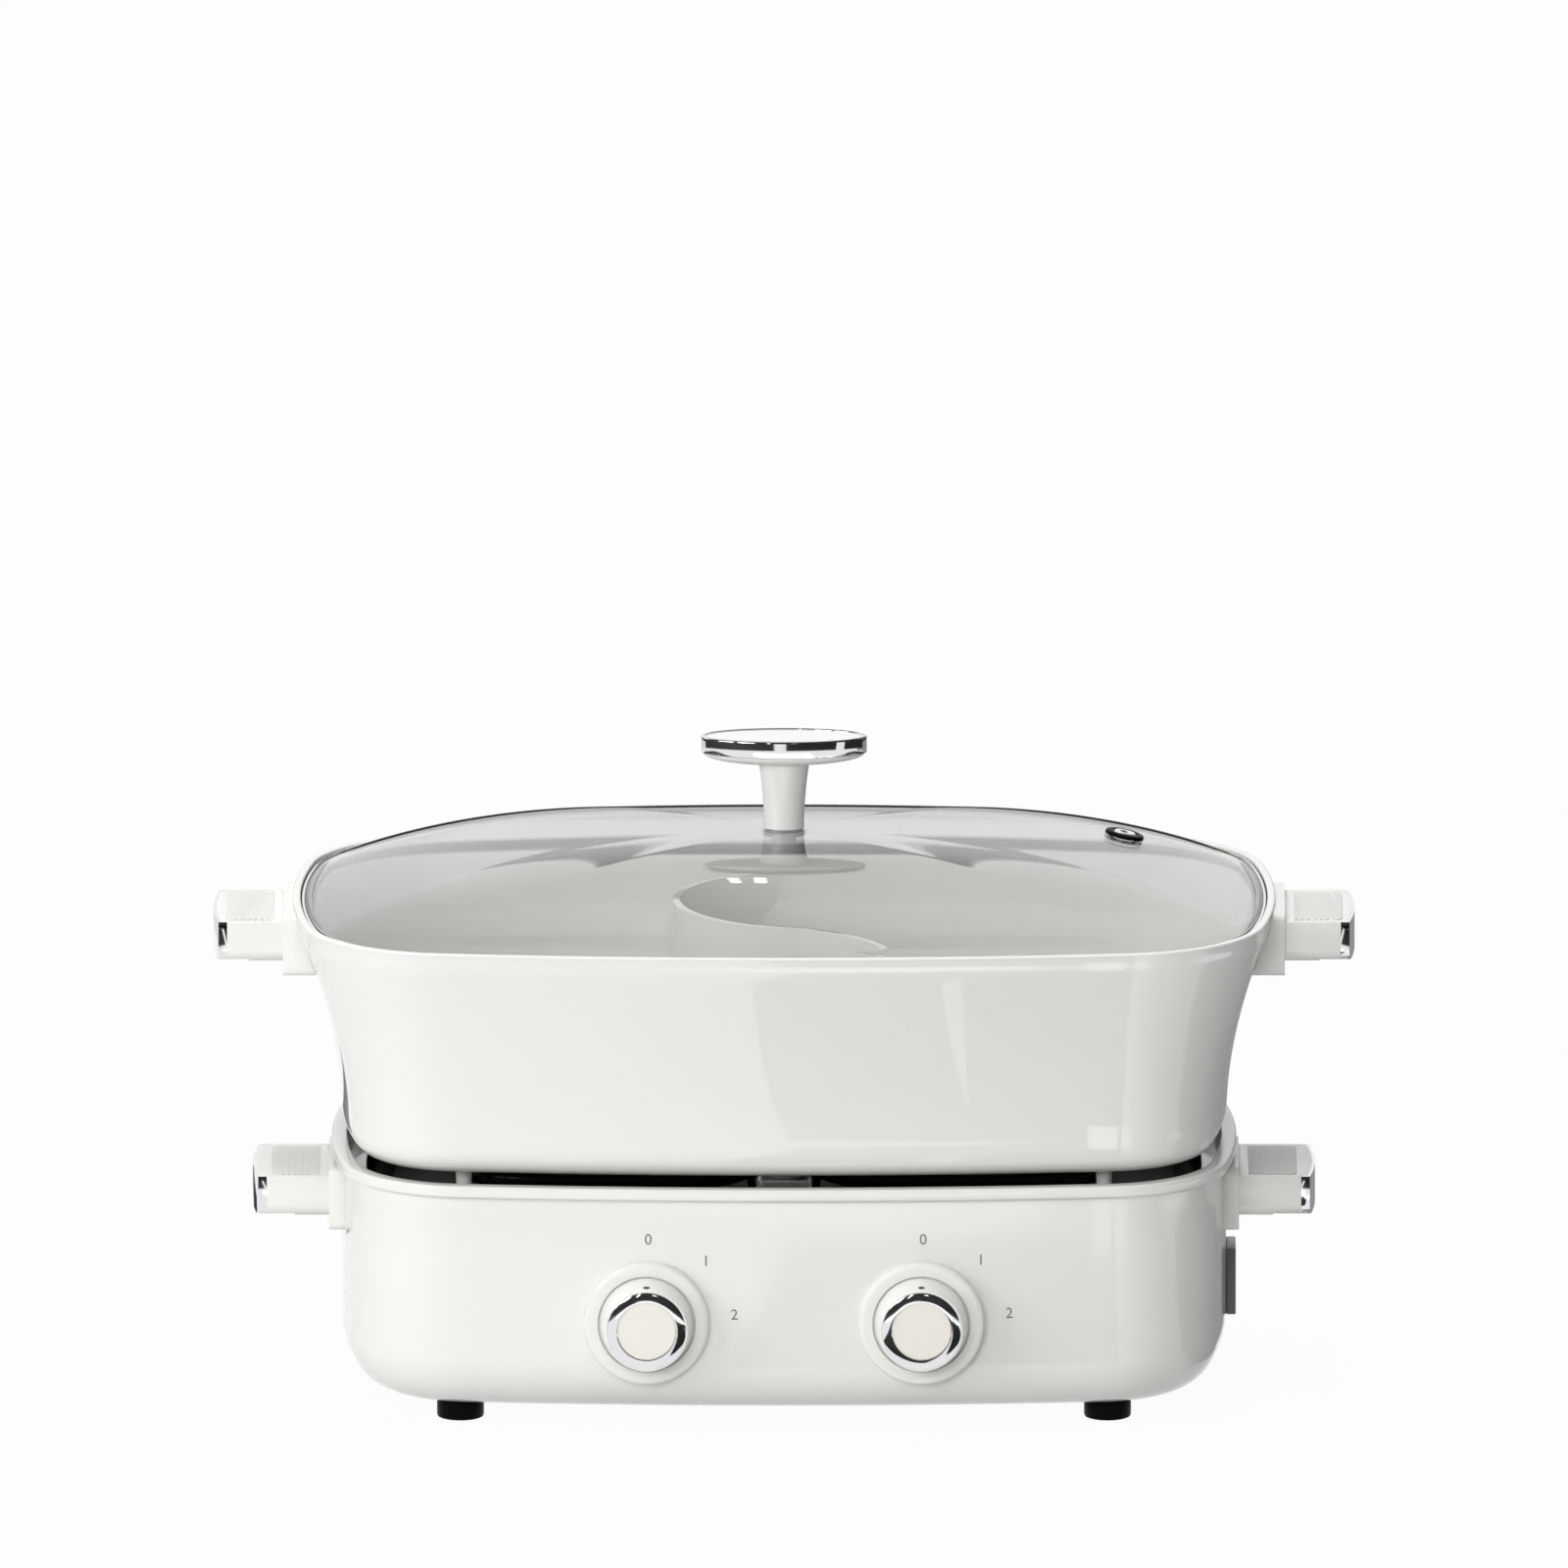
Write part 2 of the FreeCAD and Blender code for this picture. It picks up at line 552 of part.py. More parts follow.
# ---- tube heaters ----------------------------------------------------------------------------
def heater():
    """One tube: steps up from its terminals, two return bends at the middle, corners outside."""
    outer_y = HEATER_HALF_DEPTH
    run_y = HEATER_RUN_Y
    bend = (outer_y - run_y) / 2
    bend_x = HEATER_INNER_X + bend
    corner_x = HEATER_OUTER_X - HEATER_CORNER
    corner_y = outer_y - HEATER_CORNER
    turn = HEATER_CORNER * math.sqrt(0.5)
    low_x = HEATER_DROP_X + HEATER_DROP_LENGTH
    s_angle = 2 * math.atan2(HEATER_DROP, HEATER_DROP_LENGTH)
    s_radius = HEATER_DROP_LENGTH / (2 * math.sin(s_angle))
    s_x = s_radius * math.sin(s_angle / 2)
    s_z = s_radius * (1 - math.cos(s_angle / 2))
    s_mid_x = HEATER_DROP_X + HEATER_DROP_LENGTH / 2
    s_mid_z = (HEATER_Z + TERMINAL_Z) / 2
    end_x = HOUSING_X + TUBE_SOCKET_DEPTH

    def half(sign):
        """Edges from the terminal end to the middle of the outer side."""
        inner = sign * run_y
        outer = sign * outer_y
        return [
            Part.LineSegment(V(end_x, inner, TERMINAL_Z), V(low_x, inner, TERMINAL_Z)).toShape(),
            arc(V(low_x, inner, TERMINAL_Z), V(low_x - s_x, inner, TERMINAL_Z + s_z),
                V(s_mid_x, inner, s_mid_z)),
            arc(V(s_mid_x, inner, s_mid_z), V(HEATER_DROP_X + s_x, inner, HEATER_Z - s_z),
                V(HEATER_DROP_X, inner, HEATER_Z)),
            Part.LineSegment(V(HEATER_DROP_X, inner, HEATER_Z), V(bend_x, inner, HEATER_Z)).toShape(),
            arc(V(bend_x, inner, HEATER_Z), V(HEATER_INNER_X, (inner + outer) / 2, HEATER_Z),
                V(bend_x, outer, HEATER_Z)),
            Part.LineSegment(V(bend_x, outer, HEATER_Z), V(corner_x, outer, HEATER_Z)).toShape(),
            arc(V(corner_x, outer, HEATER_Z),
                V(corner_x + turn, sign * (corner_y + turn), HEATER_Z),
                V(HEATER_OUTER_X, sign * corner_y, HEATER_Z)),
        ]

    side = Part.LineSegment(V(HEATER_OUTER_X, -corner_y, HEATER_Z),
                            V(HEATER_OUTER_X, corner_y, HEATER_Z)).toShape()
    path = Part.Wire(Part.__sortEdges__(half(-1) + [side] + half(1)))
    section = Part.makeCircle(HEATER_TUBE / 2, V(end_x, -run_y, TERMINAL_Z), RIGHT)
    return path.makePipeShell([Part.Wire([section])], True, False)


def terminal_x():
    return HOUSING_X + TUBE_SOCKET_DEPTH + TERMINAL_PIN * 1.5


def heater_terminals():
    pins = []
    for x, y in four_corners(terminal_x(), HEATER_RUN_Y):
        top = TERMINAL_Z - HEATER_TUBE / 4
        pins.append(upright(TERMINAL_PIN / 2, x, y, top - TERMINAL_LENGTH, top))
    return pins


def thermostat_housing():
    """Moulded block on the tray: takes the tube's ends, carries the thermostat capsule."""
    half = HOUSING_WIDTH / 2
    housing = block((HOUSING_X, HOUSING_X + HOUSING_LENGTH), (-half, half),
                    (TRAY_FLOOR, TRAY_FLOOR + HOUSING_HEIGHT))
    housing = housing.makeFillet(HOUSING_ROUND, upright_edges(housing, HOUSING_HEIGHT))
    capsule_x = HOUSING_X + HOUSING_LENGTH / 2
    housing = housing.fuse(upright(CAPSULE_RADIUS, capsule_x, 0, TRAY_FLOOR, PLATE_TOP - PLATE_SHEET))
    for y in (-HEATER_RUN_Y, HEATER_RUN_Y):
        socket = Part.makeCylinder(HEATER_TUBE / 2 + HOLE_GAP, TUBE_SOCKET_DEPTH + 1,
                                   V(HOUSING_X - 1, y, TERMINAL_Z), RIGHT)
        housing = housing.cut(socket)
        pin_top = TERMINAL_Z - HEATER_TUBE / 4
        housing = housing.cut(upright(TERMINAL_PIN / 2 + HOLE_GAP, terminal_x(), y, 0, pin_top))
    return housing


def contact_plate():
    """Sheet bridge over the housing: folded ends and slots that run over the inner fold."""
    left = HOUSING_X
    right = HOUSING_X + HOUSING_LENGTH
    foot = TRAY_FLOOR + HOUSING_HEIGHT
    half = HOUSING_WIDTH / 2 + PLATE_OVERHANG
    solid = block((left, right), (-half, half), (foot, PLATE_TOP))
    folds = [edge for edge in edges_at(solid, PLATE_TOP) if edge.BoundBox.YLength > HOUSING_WIDTH]
    solid = solid.makeFillet(PLATE_BEND, folds)
    inner = block((left + PLATE_SHEET, right - PLATE_SHEET), (-half - 1, half + 1),
                  (foot - 1, PLATE_TOP - PLATE_SHEET))
    bends = [edge for edge in edges_at(inner, PLATE_TOP - PLATE_SHEET)
             if edge.BoundBox.YLength > HOUSING_WIDTH]
    plate = solid.cut(inner.makeFillet(PLATE_BEND - PLATE_SHEET, bends))
    for index in range(SLOT_COUNT):
        y = (index - (SLOT_COUNT - 1) / 2) * SLOT_PITCH
        width = (y - SLOT_WIDTH / 2, y + SLOT_WIDTH / 2)
        end_x = left + SLOT_LENGTH
        slot = block((left - 1, end_x), width, (PLATE_TOP - PLATE_BEND, PLATE_TOP + 1))
        round_end = upright(SLOT_WIDTH / 2, end_x, y, PLATE_TOP - PLATE_BEND, PLATE_TOP + 1)
        plate = plate.cut(slot.fuse(round_end))
    return plate


# ---- centre sensor ---------------------------------------------------------------------------
CAP_TOP = POT_UNDER - FREE_GAP
CAP_UNDER = CAP_TOP - CAP_THICKNESS
SLEEVE_TOP = RIM_Z - SLEEVE_BELOW_RIM


def sensor_sleeve():
    """Cup on the tray floor with two screwed ears and a guide hole for the cap's stem."""
    sleeve = upright(SLEEVE_RADIUS, 0, SENSOR_Y, TRAY_FLOOR, SLEEVE_TOP)
    for x in (-SLEEVE_SCREW_X, SLEEVE_SCREW_X):
        sleeve = sleeve.fuse(upright(SLEEVE_EAR, x, SENSOR_Y, TRAY_FLOOR, TRAY_FLOOR + SLEEVE_FLOOR))
    sleeve = sleeve.cut(upright(SLEEVE_RADIUS - SLEEVE_WALL, 0, SENSOR_Y,
                                TRAY_FLOOR + SLEEVE_FLOOR, BELOW))
    sleeve = sleeve.cut(upright(CAP_STEM_RADIUS + FREE_GAP, 0, SENSOR_Y, 0, BELOW))
    for x in (-SLEEVE_SCREW_X, SLEEVE_SCREW_X):
        sleeve = sleeve.cut(upright(FIXING_RADIUS * 0.75 + HOLE_GAP, x, SENSOR_Y, 0,
                                    TRAY_FLOOR + SLEEVE_FLOOR))
    return sleeve


def sensor_cap():
    cap = upright(CAP_RADIUS, 0, SENSOR_Y, CAP_UNDER, CAP_TOP)
    cap = cap.makeChamfer(CAP_CHAMFER, edges_at(cap, CAP_TOP))
    return cap.fuse(upright(CAP_STEM_RADIUS, 0, SENSOR_Y, TRAY_LOW - 4 * TRAY_SHEET, CAP_UNDER))


def sensor_spring():
    """Coil spring between the sleeve's floor and the cap."""
    bottom = TRAY_FLOOR + SLEEVE_FLOOR + SPRING_WIRE / 2
    height = CAP_UNDER - bottom - SPRING_WIRE / 2
    helix = Part.makeHelix(height / SPRING_TURNS, height, SPRING_RADIUS)
    corners = []
    for corner in range(SPRING_SIDES + 1):
        angle = math.tau * corner / SPRING_SIDES
        corners.append(V(SPRING_RADIUS, 0, 0) + V(math.cos(angle), 0, math.sin(angle)) * (SPRING_WIRE / 2))
    spring = Part.Wire(helix).makePipeShell([Part.makePolygon(corners)], True, True)
    spring.translate(V(0, SENSOR_Y, bottom))
    return spring


# ---- locating pins and sockets ---------------------------------------------------------------
def pin_sockets():
    """Posts on the tray, each with a stem through it and a hole for a locating pin."""
    top = RIM_Z - SOCKET_BELOW_RIM
    sockets = []
    for x, y in four_corners(PIN_X, PIN_Y):
        socket = upright(SOCKET_RADIUS, x, y, TRAY_FLOOR, top)
        socket = socket.makeChamfer(SOCKET_CHAMFER, edges_at(socket, top))
        socket = socket.fuse(upright(SOCKET_STEM_RADIUS, x, y, TRAY_FLOOR - SOCKET_STEM, TRAY_FLOOR))
        hole_bottom = TRAY_FLOOR - SOCKET_STEM + SOCKET_FLOOR
        sockets.append(socket.cut(upright(PIN_ROOT_RADIUS + FREE_GAP, x, y, hole_bottom, top + 1)))
    return sockets


def locating_pins():
    pins = []
    for x, y in four_corners(PIN_X, PIN_Y):
        collar = upright(PIN_COLLAR_RADIUS, x, y, POT_UNDER - PIN_COLLAR, POT_UNDER)
        pin = Part.makeCone(PIN_TIP_RADIUS, PIN_ROOT_RADIUS, PIN_LENGTH - PIN_COLLAR,
                            V(x, y, POT_UNDER - PIN_LENGTH), UP)
        pins.append(collar.fuse(pin))
    return pins


# ---- dials -----------------------------------------------------------------------------------
def dial(x):
    """Bezel, knob with its shaft, bright ring, centre cap and the switch behind the wall."""
    bezel_front = WALL_FRONT - BEZEL_STANDOFF
    recess = bezel_front + BEZEL_RECESS
    knob_back = recess - FREE_GAP
    knob_front = WALL_FRONT - KNOB_REACH
    seat = knob_front + RING_SEAT

    bezel = facing_front(BEZEL_RADIUS, x, DIAL_Z, WALL_FRONT + BEZEL_STANDOFF, bezel_front)
    rim = [edge for edge in bezel.Edges if abs(edge.BoundBox.YMax - bezel_front) < 1e-4]
    bezel = bezel.makeFillet(BEZEL_ROUND, rim)
    bezel = bezel.cut(facing_front(KNOB_BASE_RADIUS + 2 * FREE_GAP, x, DIAL_Z, recess, bezel_front - 1))
    bezel = bezel.cut(facing_front(BUSH_RADIUS + HOLE_GAP, x, DIAL_Z, 0, bezel_front - 1))
    bezel = bezel.cut(prism(BODY, BODY_BOTTOM, RIM_Z))

    knob = Part.makeCone(KNOB_BASE_RADIUS, KNOB_RADIUS, knob_back - knob_front,
                         V(x, knob_back, DIAL_Z), FRONT)
    nose = [edge for edge in knob.Edges if abs(edge.BoundBox.YMax - knob_front) < 1e-4]
    knob = knob.makeFillet(KNOB_ROUND, nose)
    knob = knob.cut(facing_front(RING_RADIUS, x, DIAL_Z, seat, knob_front - 1))
    shaft_end = knob_back + SHAFT_LENGTH
    knob = knob.fuse(facing_front(SHAFT_RADIUS, x, DIAL_Z, shaft_end, knob_back))

    ring = facing_front(RING_RADIUS, x, DIAL_Z, seat, knob_front - RING_PROUD)
    lip = [edge for edge in ring.Edges if abs(edge.BoundBox.YMax - knob_front + RING_PROUD) < 1e-4]
    ring = ring.makeChamfer(RING_BEVEL, lip)
    ring = ring.cut(facing_front(RING_INNER_RADIUS, x, DIAL_Z, 0, knob_front - BELOW))
    centre = facing_front(RING_INNER_RADIUS, x, DIAL_Z, seat, knob_front - CENTRE_PROUD)

    inner_wall = prism(grown(BODY, -SHELL_WALL), BODY_BOTTOM, RIM_Z)
    half = SWITCH_WIDTH / 2
    body_back = WALL_FRONT + SHELL_WALL + SWITCH_DEPTH
    switch = block((x - half, x + half), (WALL_FRONT, body_back), (DIAL_Z - half, DIAL_Z + half))
    corners = [edge for edge in switch.Edges
               if edge.BoundBox.XLength < 1e-4 and edge.BoundBox.ZLength < 1e-4]
    switch = switch.makeFillet(SWITCH_ROUND, corners).common(inner_wall)
    bush = facing_front(BUSH_RADIUS, x, DIAL_Z, body_back, recess + FREE_GAP)
    switch = switch.fuse(bush)
    switch = switch.cut(facing_front(SHAFT_RADIUS + SHAFT_GAP, x, DIAL_Z, shaft_end + FREE_GAP,
                                     bezel_front))
    return bezel, knob, ring, centre, switch


# ---- appliance inlet -------------------------------------------------------------------------
def inlet():
    """Housing through the right wall, with a recess that holds three flat pins."""
    wall_x = HALF_LENGTH
    face = wall_x + INLET_PROUD
    half_y = INLET_WIDTH / 2
    half_z = INLET_HEIGHT / 2
    frame = block((wall_x - 2, face), (-half_y, half_y), (INLET_Z - half_z, INLET_Z + half_z))
    frame = frame.cut(prism(BODY, BODY_BOTTOM, RIM_Z))
    body_y = INLET_BODY_WIDTH / 2
    body_z = INLET_BODY_HEIGHT / 2
    back = wall_x - INLET_BODY_DEPTH
    body = block((back, face), (-body_y, body_y), (INLET_Z - body_z, INLET_Z + body_z))
    recess_y = body_y - INLET_WALL
    recess_z = body_z - INLET_WALL
    recess_back = face - INLET_RECESS
    recess = block((recess_back, face + 1), (-recess_y, recess_y), (INLET_Z - recess_z, INLET_Z + recess_z))
    housing = frame.fuse(body).cut(recess)
    pins = []
    for index in range(INLET_PIN_COUNT):
        z = INLET_Z + (index - (INLET_PIN_COUNT - 1) / 2) * INLET_PIN_PITCH
        y_range = (-INLET_PIN_WIDTH / 2, INLET_PIN_WIDTH / 2)
        z_range = (z - INLET_PIN_THICKNESS / 2, z + INLET_PIN_THICKNESS / 2)
        pins.append(block((recess_back, recess_back + INLET_PIN_LENGTH), y_range, z_range))
    return housing, pins


# ---- handles ---------------------------------------------------------------------------------
def fixing_cylinders(grip_x, grip_top, radius, start_x):
    """Two cylinders along X through the bracket into the right-hand grip."""
    z = grip_top - GRIP_THICKNESS / 2
    length = grip_x + FIXING_DEPTH - start_x
    return [Part.makeCylinder(radius, length, V(start_x, y, z), RIGHT)
            for y in (-FIXING_PITCH / 2, FIXING_PITCH / 2)]


def grip_blank(grip_x, grip_length, grip_top, shrink):
    """The grip's outer form, or that form less a band's thickness at the sides and the end."""
    half = GRIP_WIDTH / 2 - shrink
    end = grip_x + grip_length - shrink
    bow = GRIP_END_BOW - shrink
    corner_x = end - bow + math.sqrt(bow ** 2 - half ** 2)
    bottom = grip_top - GRIP_THICKNESS
    corners = [V(corner_x, half, bottom), V(grip_x, half, bottom), V(grip_x, -half, bottom),
               V(corner_x, -half, bottom)]
    edges = [Part.LineSegment(a, b).toShape() for a, b in zip(corners, corners[1:])]
    edges.append(arc(corners[3], V(end, 0, bottom), corners[0]))
    return Part.Face(Part.Wire(edges)).extrude(UP * GRIP_THICKNESS)


def handle(grip_x, grip_length, grip_top, carrier):
    """Right-hand handle on the carrier's wall: bracket, grip, end band and top pad."""
    bottom = grip_top - GRIP_THICKNESS
    full = grip_blank(grip_x, grip_length, grip_top, 0.0)
    long_edges = [edge for edge in edges_at(full, bottom)
                  if edge.BoundBox.YLength < 1e-4 and edge.BoundBox.XLength > 1]
    full = full.makeFillet(GRIP_UNDER_ROUND, long_edges)
    inner = grip_blank(grip_x, grip_length, grip_top, BAND_SHEET)
    band_start = grip_x + grip_length - BAND_RETURN - BAND_SHEET
    zone = block((band_start, grip_x + BELOW), (-GRIP_WIDTH, GRIP_WIDTH), (bottom - 1, grip_top + 1))
    band = full.common(zone).cut(inner)
    grip = full.cut(band)

    pad_y = PAD_WIDTH / 2
    pad = block((grip_x + PAD_START, grip_x + PAD_START + PAD_LENGTH), (-pad_y, pad_y),
                (grip_top - PAD_SEAT, grip_top + PAD_PROUD))
    pad = pad.makeFillet(PAD_CORNER, [edge for edge in upright_edges(pad, PAD_SEAT + PAD_PROUD)
                                      if edge.BoundBox.XMin > grip_x + PAD_LENGTH])
    middle_x = grip_x + PAD_START + (PAD_LENGTH - PAD_CORNER) / 2
    for index in range(SCALLOP_COUNT):
        x = middle_x + (index - (SCALLOP_COUNT - 1) / 2) * SCALLOP_PITCH
        for y in (-pad_y, pad_y):
            pad = pad.cut(upright(SCALLOP_RADIUS, x, y, grip_top - PAD_SEAT, grip_top + 1))
    grip = grip.cut(pad)
    for hole in fixing_cylinders(grip_x, grip_top, FIXING_RADIUS + HOLE_GAP, grip_x - 1):
        grip = grip.cut(hole)

    half = GRIP_WIDTH / 2 + BRACKET_SIDE
    bracket = block((grip_x - 2 * POT_FLARE, grip_x), (-half, half),
                    (bottom - BRACKET_DROP, grip_top + BRACKET_RISE))
    tops = [edge for edge in bracket.Edges
            if edge.BoundBox.XLength > POT_FLARE and edge.BoundBox.YLength < 1e-4]
    bracket = bracket.makeFillet(BRACKET_ROUND, tops).cut(carrier)
    tongue_y = BRACKET_TONGUE_WIDTH / 2
    tongue = block((grip_x - 1, grip_x + BRACKET_TONGUE), (-tongue_y, tongue_y),
                   (bottom - BRACKET_TONGUE_THICKNESS, bottom))
    bracket = bracket.fuse(tongue.cut(carrier))
    for hole in fixing_cylinders(grip_x, grip_top, FIXING_RADIUS + HOLE_GAP, grip_x - 2 * POT_FLARE):
        bracket = bracket.cut(hole)
    return {"bracket": bracket, "grip": grip, "band": band, "pad": pad}


def base_screws():
    """Cover screws, sensor screws and the handle screws inside the shell."""
    screws = []
    for x, y in cover_screw_places():
        head = upright(FIXING_HEAD, x, y, BODY_BOTTOM - FIXING_HEAD_HEIGHT, BODY_BOTTOM)
        screws.append(head.fuse(upright(FIXING_RADIUS, x, y, BODY_BOTTOM, LIP_TOP + 2)))
    for x in (-SLEEVE_SCREW_X, SLEEVE_SCREW_X):
        seat = TRAY_FLOOR + SLEEVE_FLOOR
        head = upright(FIXING_HEAD * 0.75, x, SENSOR_Y, seat, seat + FIXING_HEAD_HEIGHT * 0.75)
        screws.append(head.fuse(upright(FIXING_RADIUS * 0.75, x, SENSOR_Y, seat - 8, seat)))
    inner_x = HALF_LENGTH - SHELL_WALL
    sag = BODY_SHORT_BOW - math.sqrt(BODY_SHORT_BOW ** 2 - (FIXING_PITCH / 2 + FIXING_HEAD) ** 2)
    seat_x = inner_x - sag
    shanks = fixing_cylinders(BASE_GRIP_X, BASE_GRIP_TOP, FIXING_RADIUS, seat_x)
    heads = fixing_cylinders(BASE_GRIP_X, BASE_GRIP_TOP, FIXING_HEAD, seat_x)
    for shank, head in zip(shanks, heads):
        near = block((seat_x - BELOW, seat_x + FIXING_HEAD_HEIGHT), (-BELOW, BELOW), (0, BELOW))
        cap = head.common(near)
        cap.translate(V(-FIXING_HEAD_HEIGHT, 0, 0))
        screw = shank.fuse(cap)
        screws.append(screw)
        screws.append(mirrored(screw, -1))
    return screws


def pot_studs():
    """Studs on the pot's wall that hold the handles."""
    studs = []
    for shank in fixing_cylinders(POT_GRIP_X, POT_RIM - POT_GRIP_BELOW_RIM, FIXING_RADIUS,
                                  POT_GRIP_X - POT_FLARE * 1.5):
        stud = shank.cut(pot_outside)
        studs.append(stud)
        studs.append(mirrored(stud, -1))
    return studs


# ---- pot -------------------------------------------------------------------------------------
def pot_body():
    body = pot_outside.cut(pot_inside)
    return body.cut(prism(LID_SEAT, POT_RIM - POT_LIP, POT_RIM + 1))


def pot_divider():
    """S-shaped wall: two arcs that meet in the middle and run out into the long walls."""
    half_span = DIVIDER_SPAN / 2
    radius = (half_span ** 2 + DIVIDER_BULGE ** 2) / (2 * DIVIDER_BULGE)
    centre = V(radius - DIVIDER_BULGE, half_span, 0)
    floor = POT_UNDER + POT_FLOOR
    top = POT_RIM - DIVIDER_BELOW_RIM
    rise = UP * (top - floor + 1)
    foot = UP * (floor - 1)
    outer = Part.makeCylinder(radius + DIVIDER_WALL / 2, rise.Length, centre + foot)
    inner = Part.makeCylinder(radius - DIVIDER_WALL / 2, rise.Length, centre + foot)
    past = centre * -0.2
    corners = [centre, centre + V(0, BELOW, 0), centre + V(-BELOW, BELOW, 0), V(-BELOW, past.y, 0), past]
    wedge = Part.Face(Part.makePolygon([corner + foot for corner in corners + [centre]])).extrude(rise)
    half = outer.cut(inner).common(wedge)
    other_half = half.copy()
    other_half.rotate(V(0, 0, 0), UP, 180)
    strip = half.fuse(other_half)
    return strip.common(pot_inside)


def heat_spreader():
    """Plate under the pot, over one heater."""
    half_x = SPREADER_LENGTH / 2
    half_y = SPREADER_WIDTH / 2
    plate = block((SPREADER_X - half_x, SPREADER_X + half_x), (-half_y, half_y),
                  (SPREADER_UNDER, POT_UNDER))
    return plate.makeFillet(SPREADER_CORNER, upright_edges(plate, SPREADER_THICKNESS))


# ---- lid -------------------------------------------------------------------------------------
LID = grown(LID_SEAT, -FREE_GAP)
GLASS = grown(LID, -SEAL_LIP)
GLASS_INNER = grown(GLASS, -GLASS_THICKNESS)
DOME_SHARES = (1.0, 0.9, 0.75, 0.55, 0.3, GLASS_CROWN)


def scaled(outline, share):
    return tuple(size * share for size in outline)


def dome_height(share):
    return GLASS_EDGE_TOP + GLASS_DOME * (1 - share ** GLASS_DOME_POWER)


def dome(outline, drop):
    """Domed solid over an outline; drop lowers it for the underside of the glass."""
    wires = [bowed_wire(scaled(outline, share), dome_height(share) - drop) for share in DOME_SHARES]
    return Part.makeLoft(wires, True, False)


glass_outside = prism(GLASS, GLASS_UNDER, GLASS_EDGE_TOP).fuse(dome(GLASS, 0.0))
glass_hollow = dome(GLASS_INNER, GLASS_THICKNESS)


def lid_glass():
    glass = glass_outside.cut(glass_hollow)
    glass = glass.cut(prism(GLASS_INNER, GLASS_UNDER - 1, GLASS_EDGE_TOP - GLASS_THICKNESS))
    glass = glass.cut(upright(LID_SCREW_RADIUS + FREE_GAP, 0, 0, GLASS_UNDER, BELOW * 2))
    hole = Part.makeCylinder(VENT_TUBE_RADIUS + HOLE_GAP, 4 * GLASS_THICKNESS, V(0, 0, 0), UP)
    hole.translate(V(0, 0, -2 * GLASS_THICKNESS))
    return glass.cut(vent_placed(hole))


def height_over(solid, x, y):
    """Height of a domed solid's upper surface over a point."""
    plumb = Part.LineSegment(V(x, y, 0), V(x, y, CROWN_TOP + 1)).toShape()
    return plumb.common(solid).BoundBox.ZMax


vent_height = height_over(glass_outside, VENT_X, VENT_Y)
vent_depth = vent_height - height_over(glass_hollow, VENT_X, VENT_Y)
slope_x = height_over(glass_outside, VENT_X + 1, VENT_Y) - vent_height
slope_y = height_over(glass_outside, VENT_X, VENT_Y + 1) - vent_height
VENT_AXIS = V(-slope_x, -slope_y, 1).normalize()


def vent_placed(shape):
    """Turn a shape made about the origin square to the glass at the vent."""
    placed = shape.copy()
    at_vent = V(VENT_X, VENT_Y, vent_height)
    placed.Placement = FreeCAD.Placement(at_vent, FreeCAD.Rotation(UP, VENT_AXIS)).multiply(placed.Placement)
    return placed


def vent_eyelet():
    """Bright flanged bush through the glass with a nut below it."""
    lift = VENT_SEAT_GAP
    flange = Part.makeCylinder(VENT_FLANGE_RADIUS, VENT_FLANGE, V(0, 0, lift), UP)
    flange = flange.makeFillet(VENT_FLANGE / 2, edges_at(flange, lift + VENT_FLANGE))
    glass_under = -vent_depth * VENT_AXIS.z - lift
    tube_bottom = glass_under - VENT_NUT
    tube = Part.makeCylinder(VENT_TUBE_RADIUS, lift - tube_bottom, V(0, 0, tube_bottom), UP)
    nut = Part.makeCylinder(VENT_NUT_RADIUS, VENT_NUT, V(0, 0, tube_bottom), UP)
    hole = Part.makeCylinder(VENT_HOLE_RADIUS, BELOW, V(0, 0, -BELOW / 2), UP)
    return vent_placed(flange.fuse(tube).fuse(nut).cut(hole))


def lid_seal():
    """Silicone rim: a lip round the glass's edge and a step under it."""
    seal = prism(LID, SEAL_UNDER, SEAL_UNDER + SEAL_HEIGHT)
    seal = seal.cut(prism(GLASS, GLASS_UNDER, POT_RIM + BELOW))
    return seal.cut(prism(grown(LID, -SEAL_WIDTH), SEAL_UNDER - 1, GLASS_UNDER + 1))


def lid_trim():
    """Thin steel hoop on top of the seal."""
    bottom = SEAL_UNDER + SEAL_HEIGHT
    hoop = prism(grown(LID, -0.2), bottom, bottom + TRIM_HEIGHT)
    return hoop.cut(prism(grown(GLASS, 0.1), bottom - 1, bottom + TRIM_HEIGHT + 1))


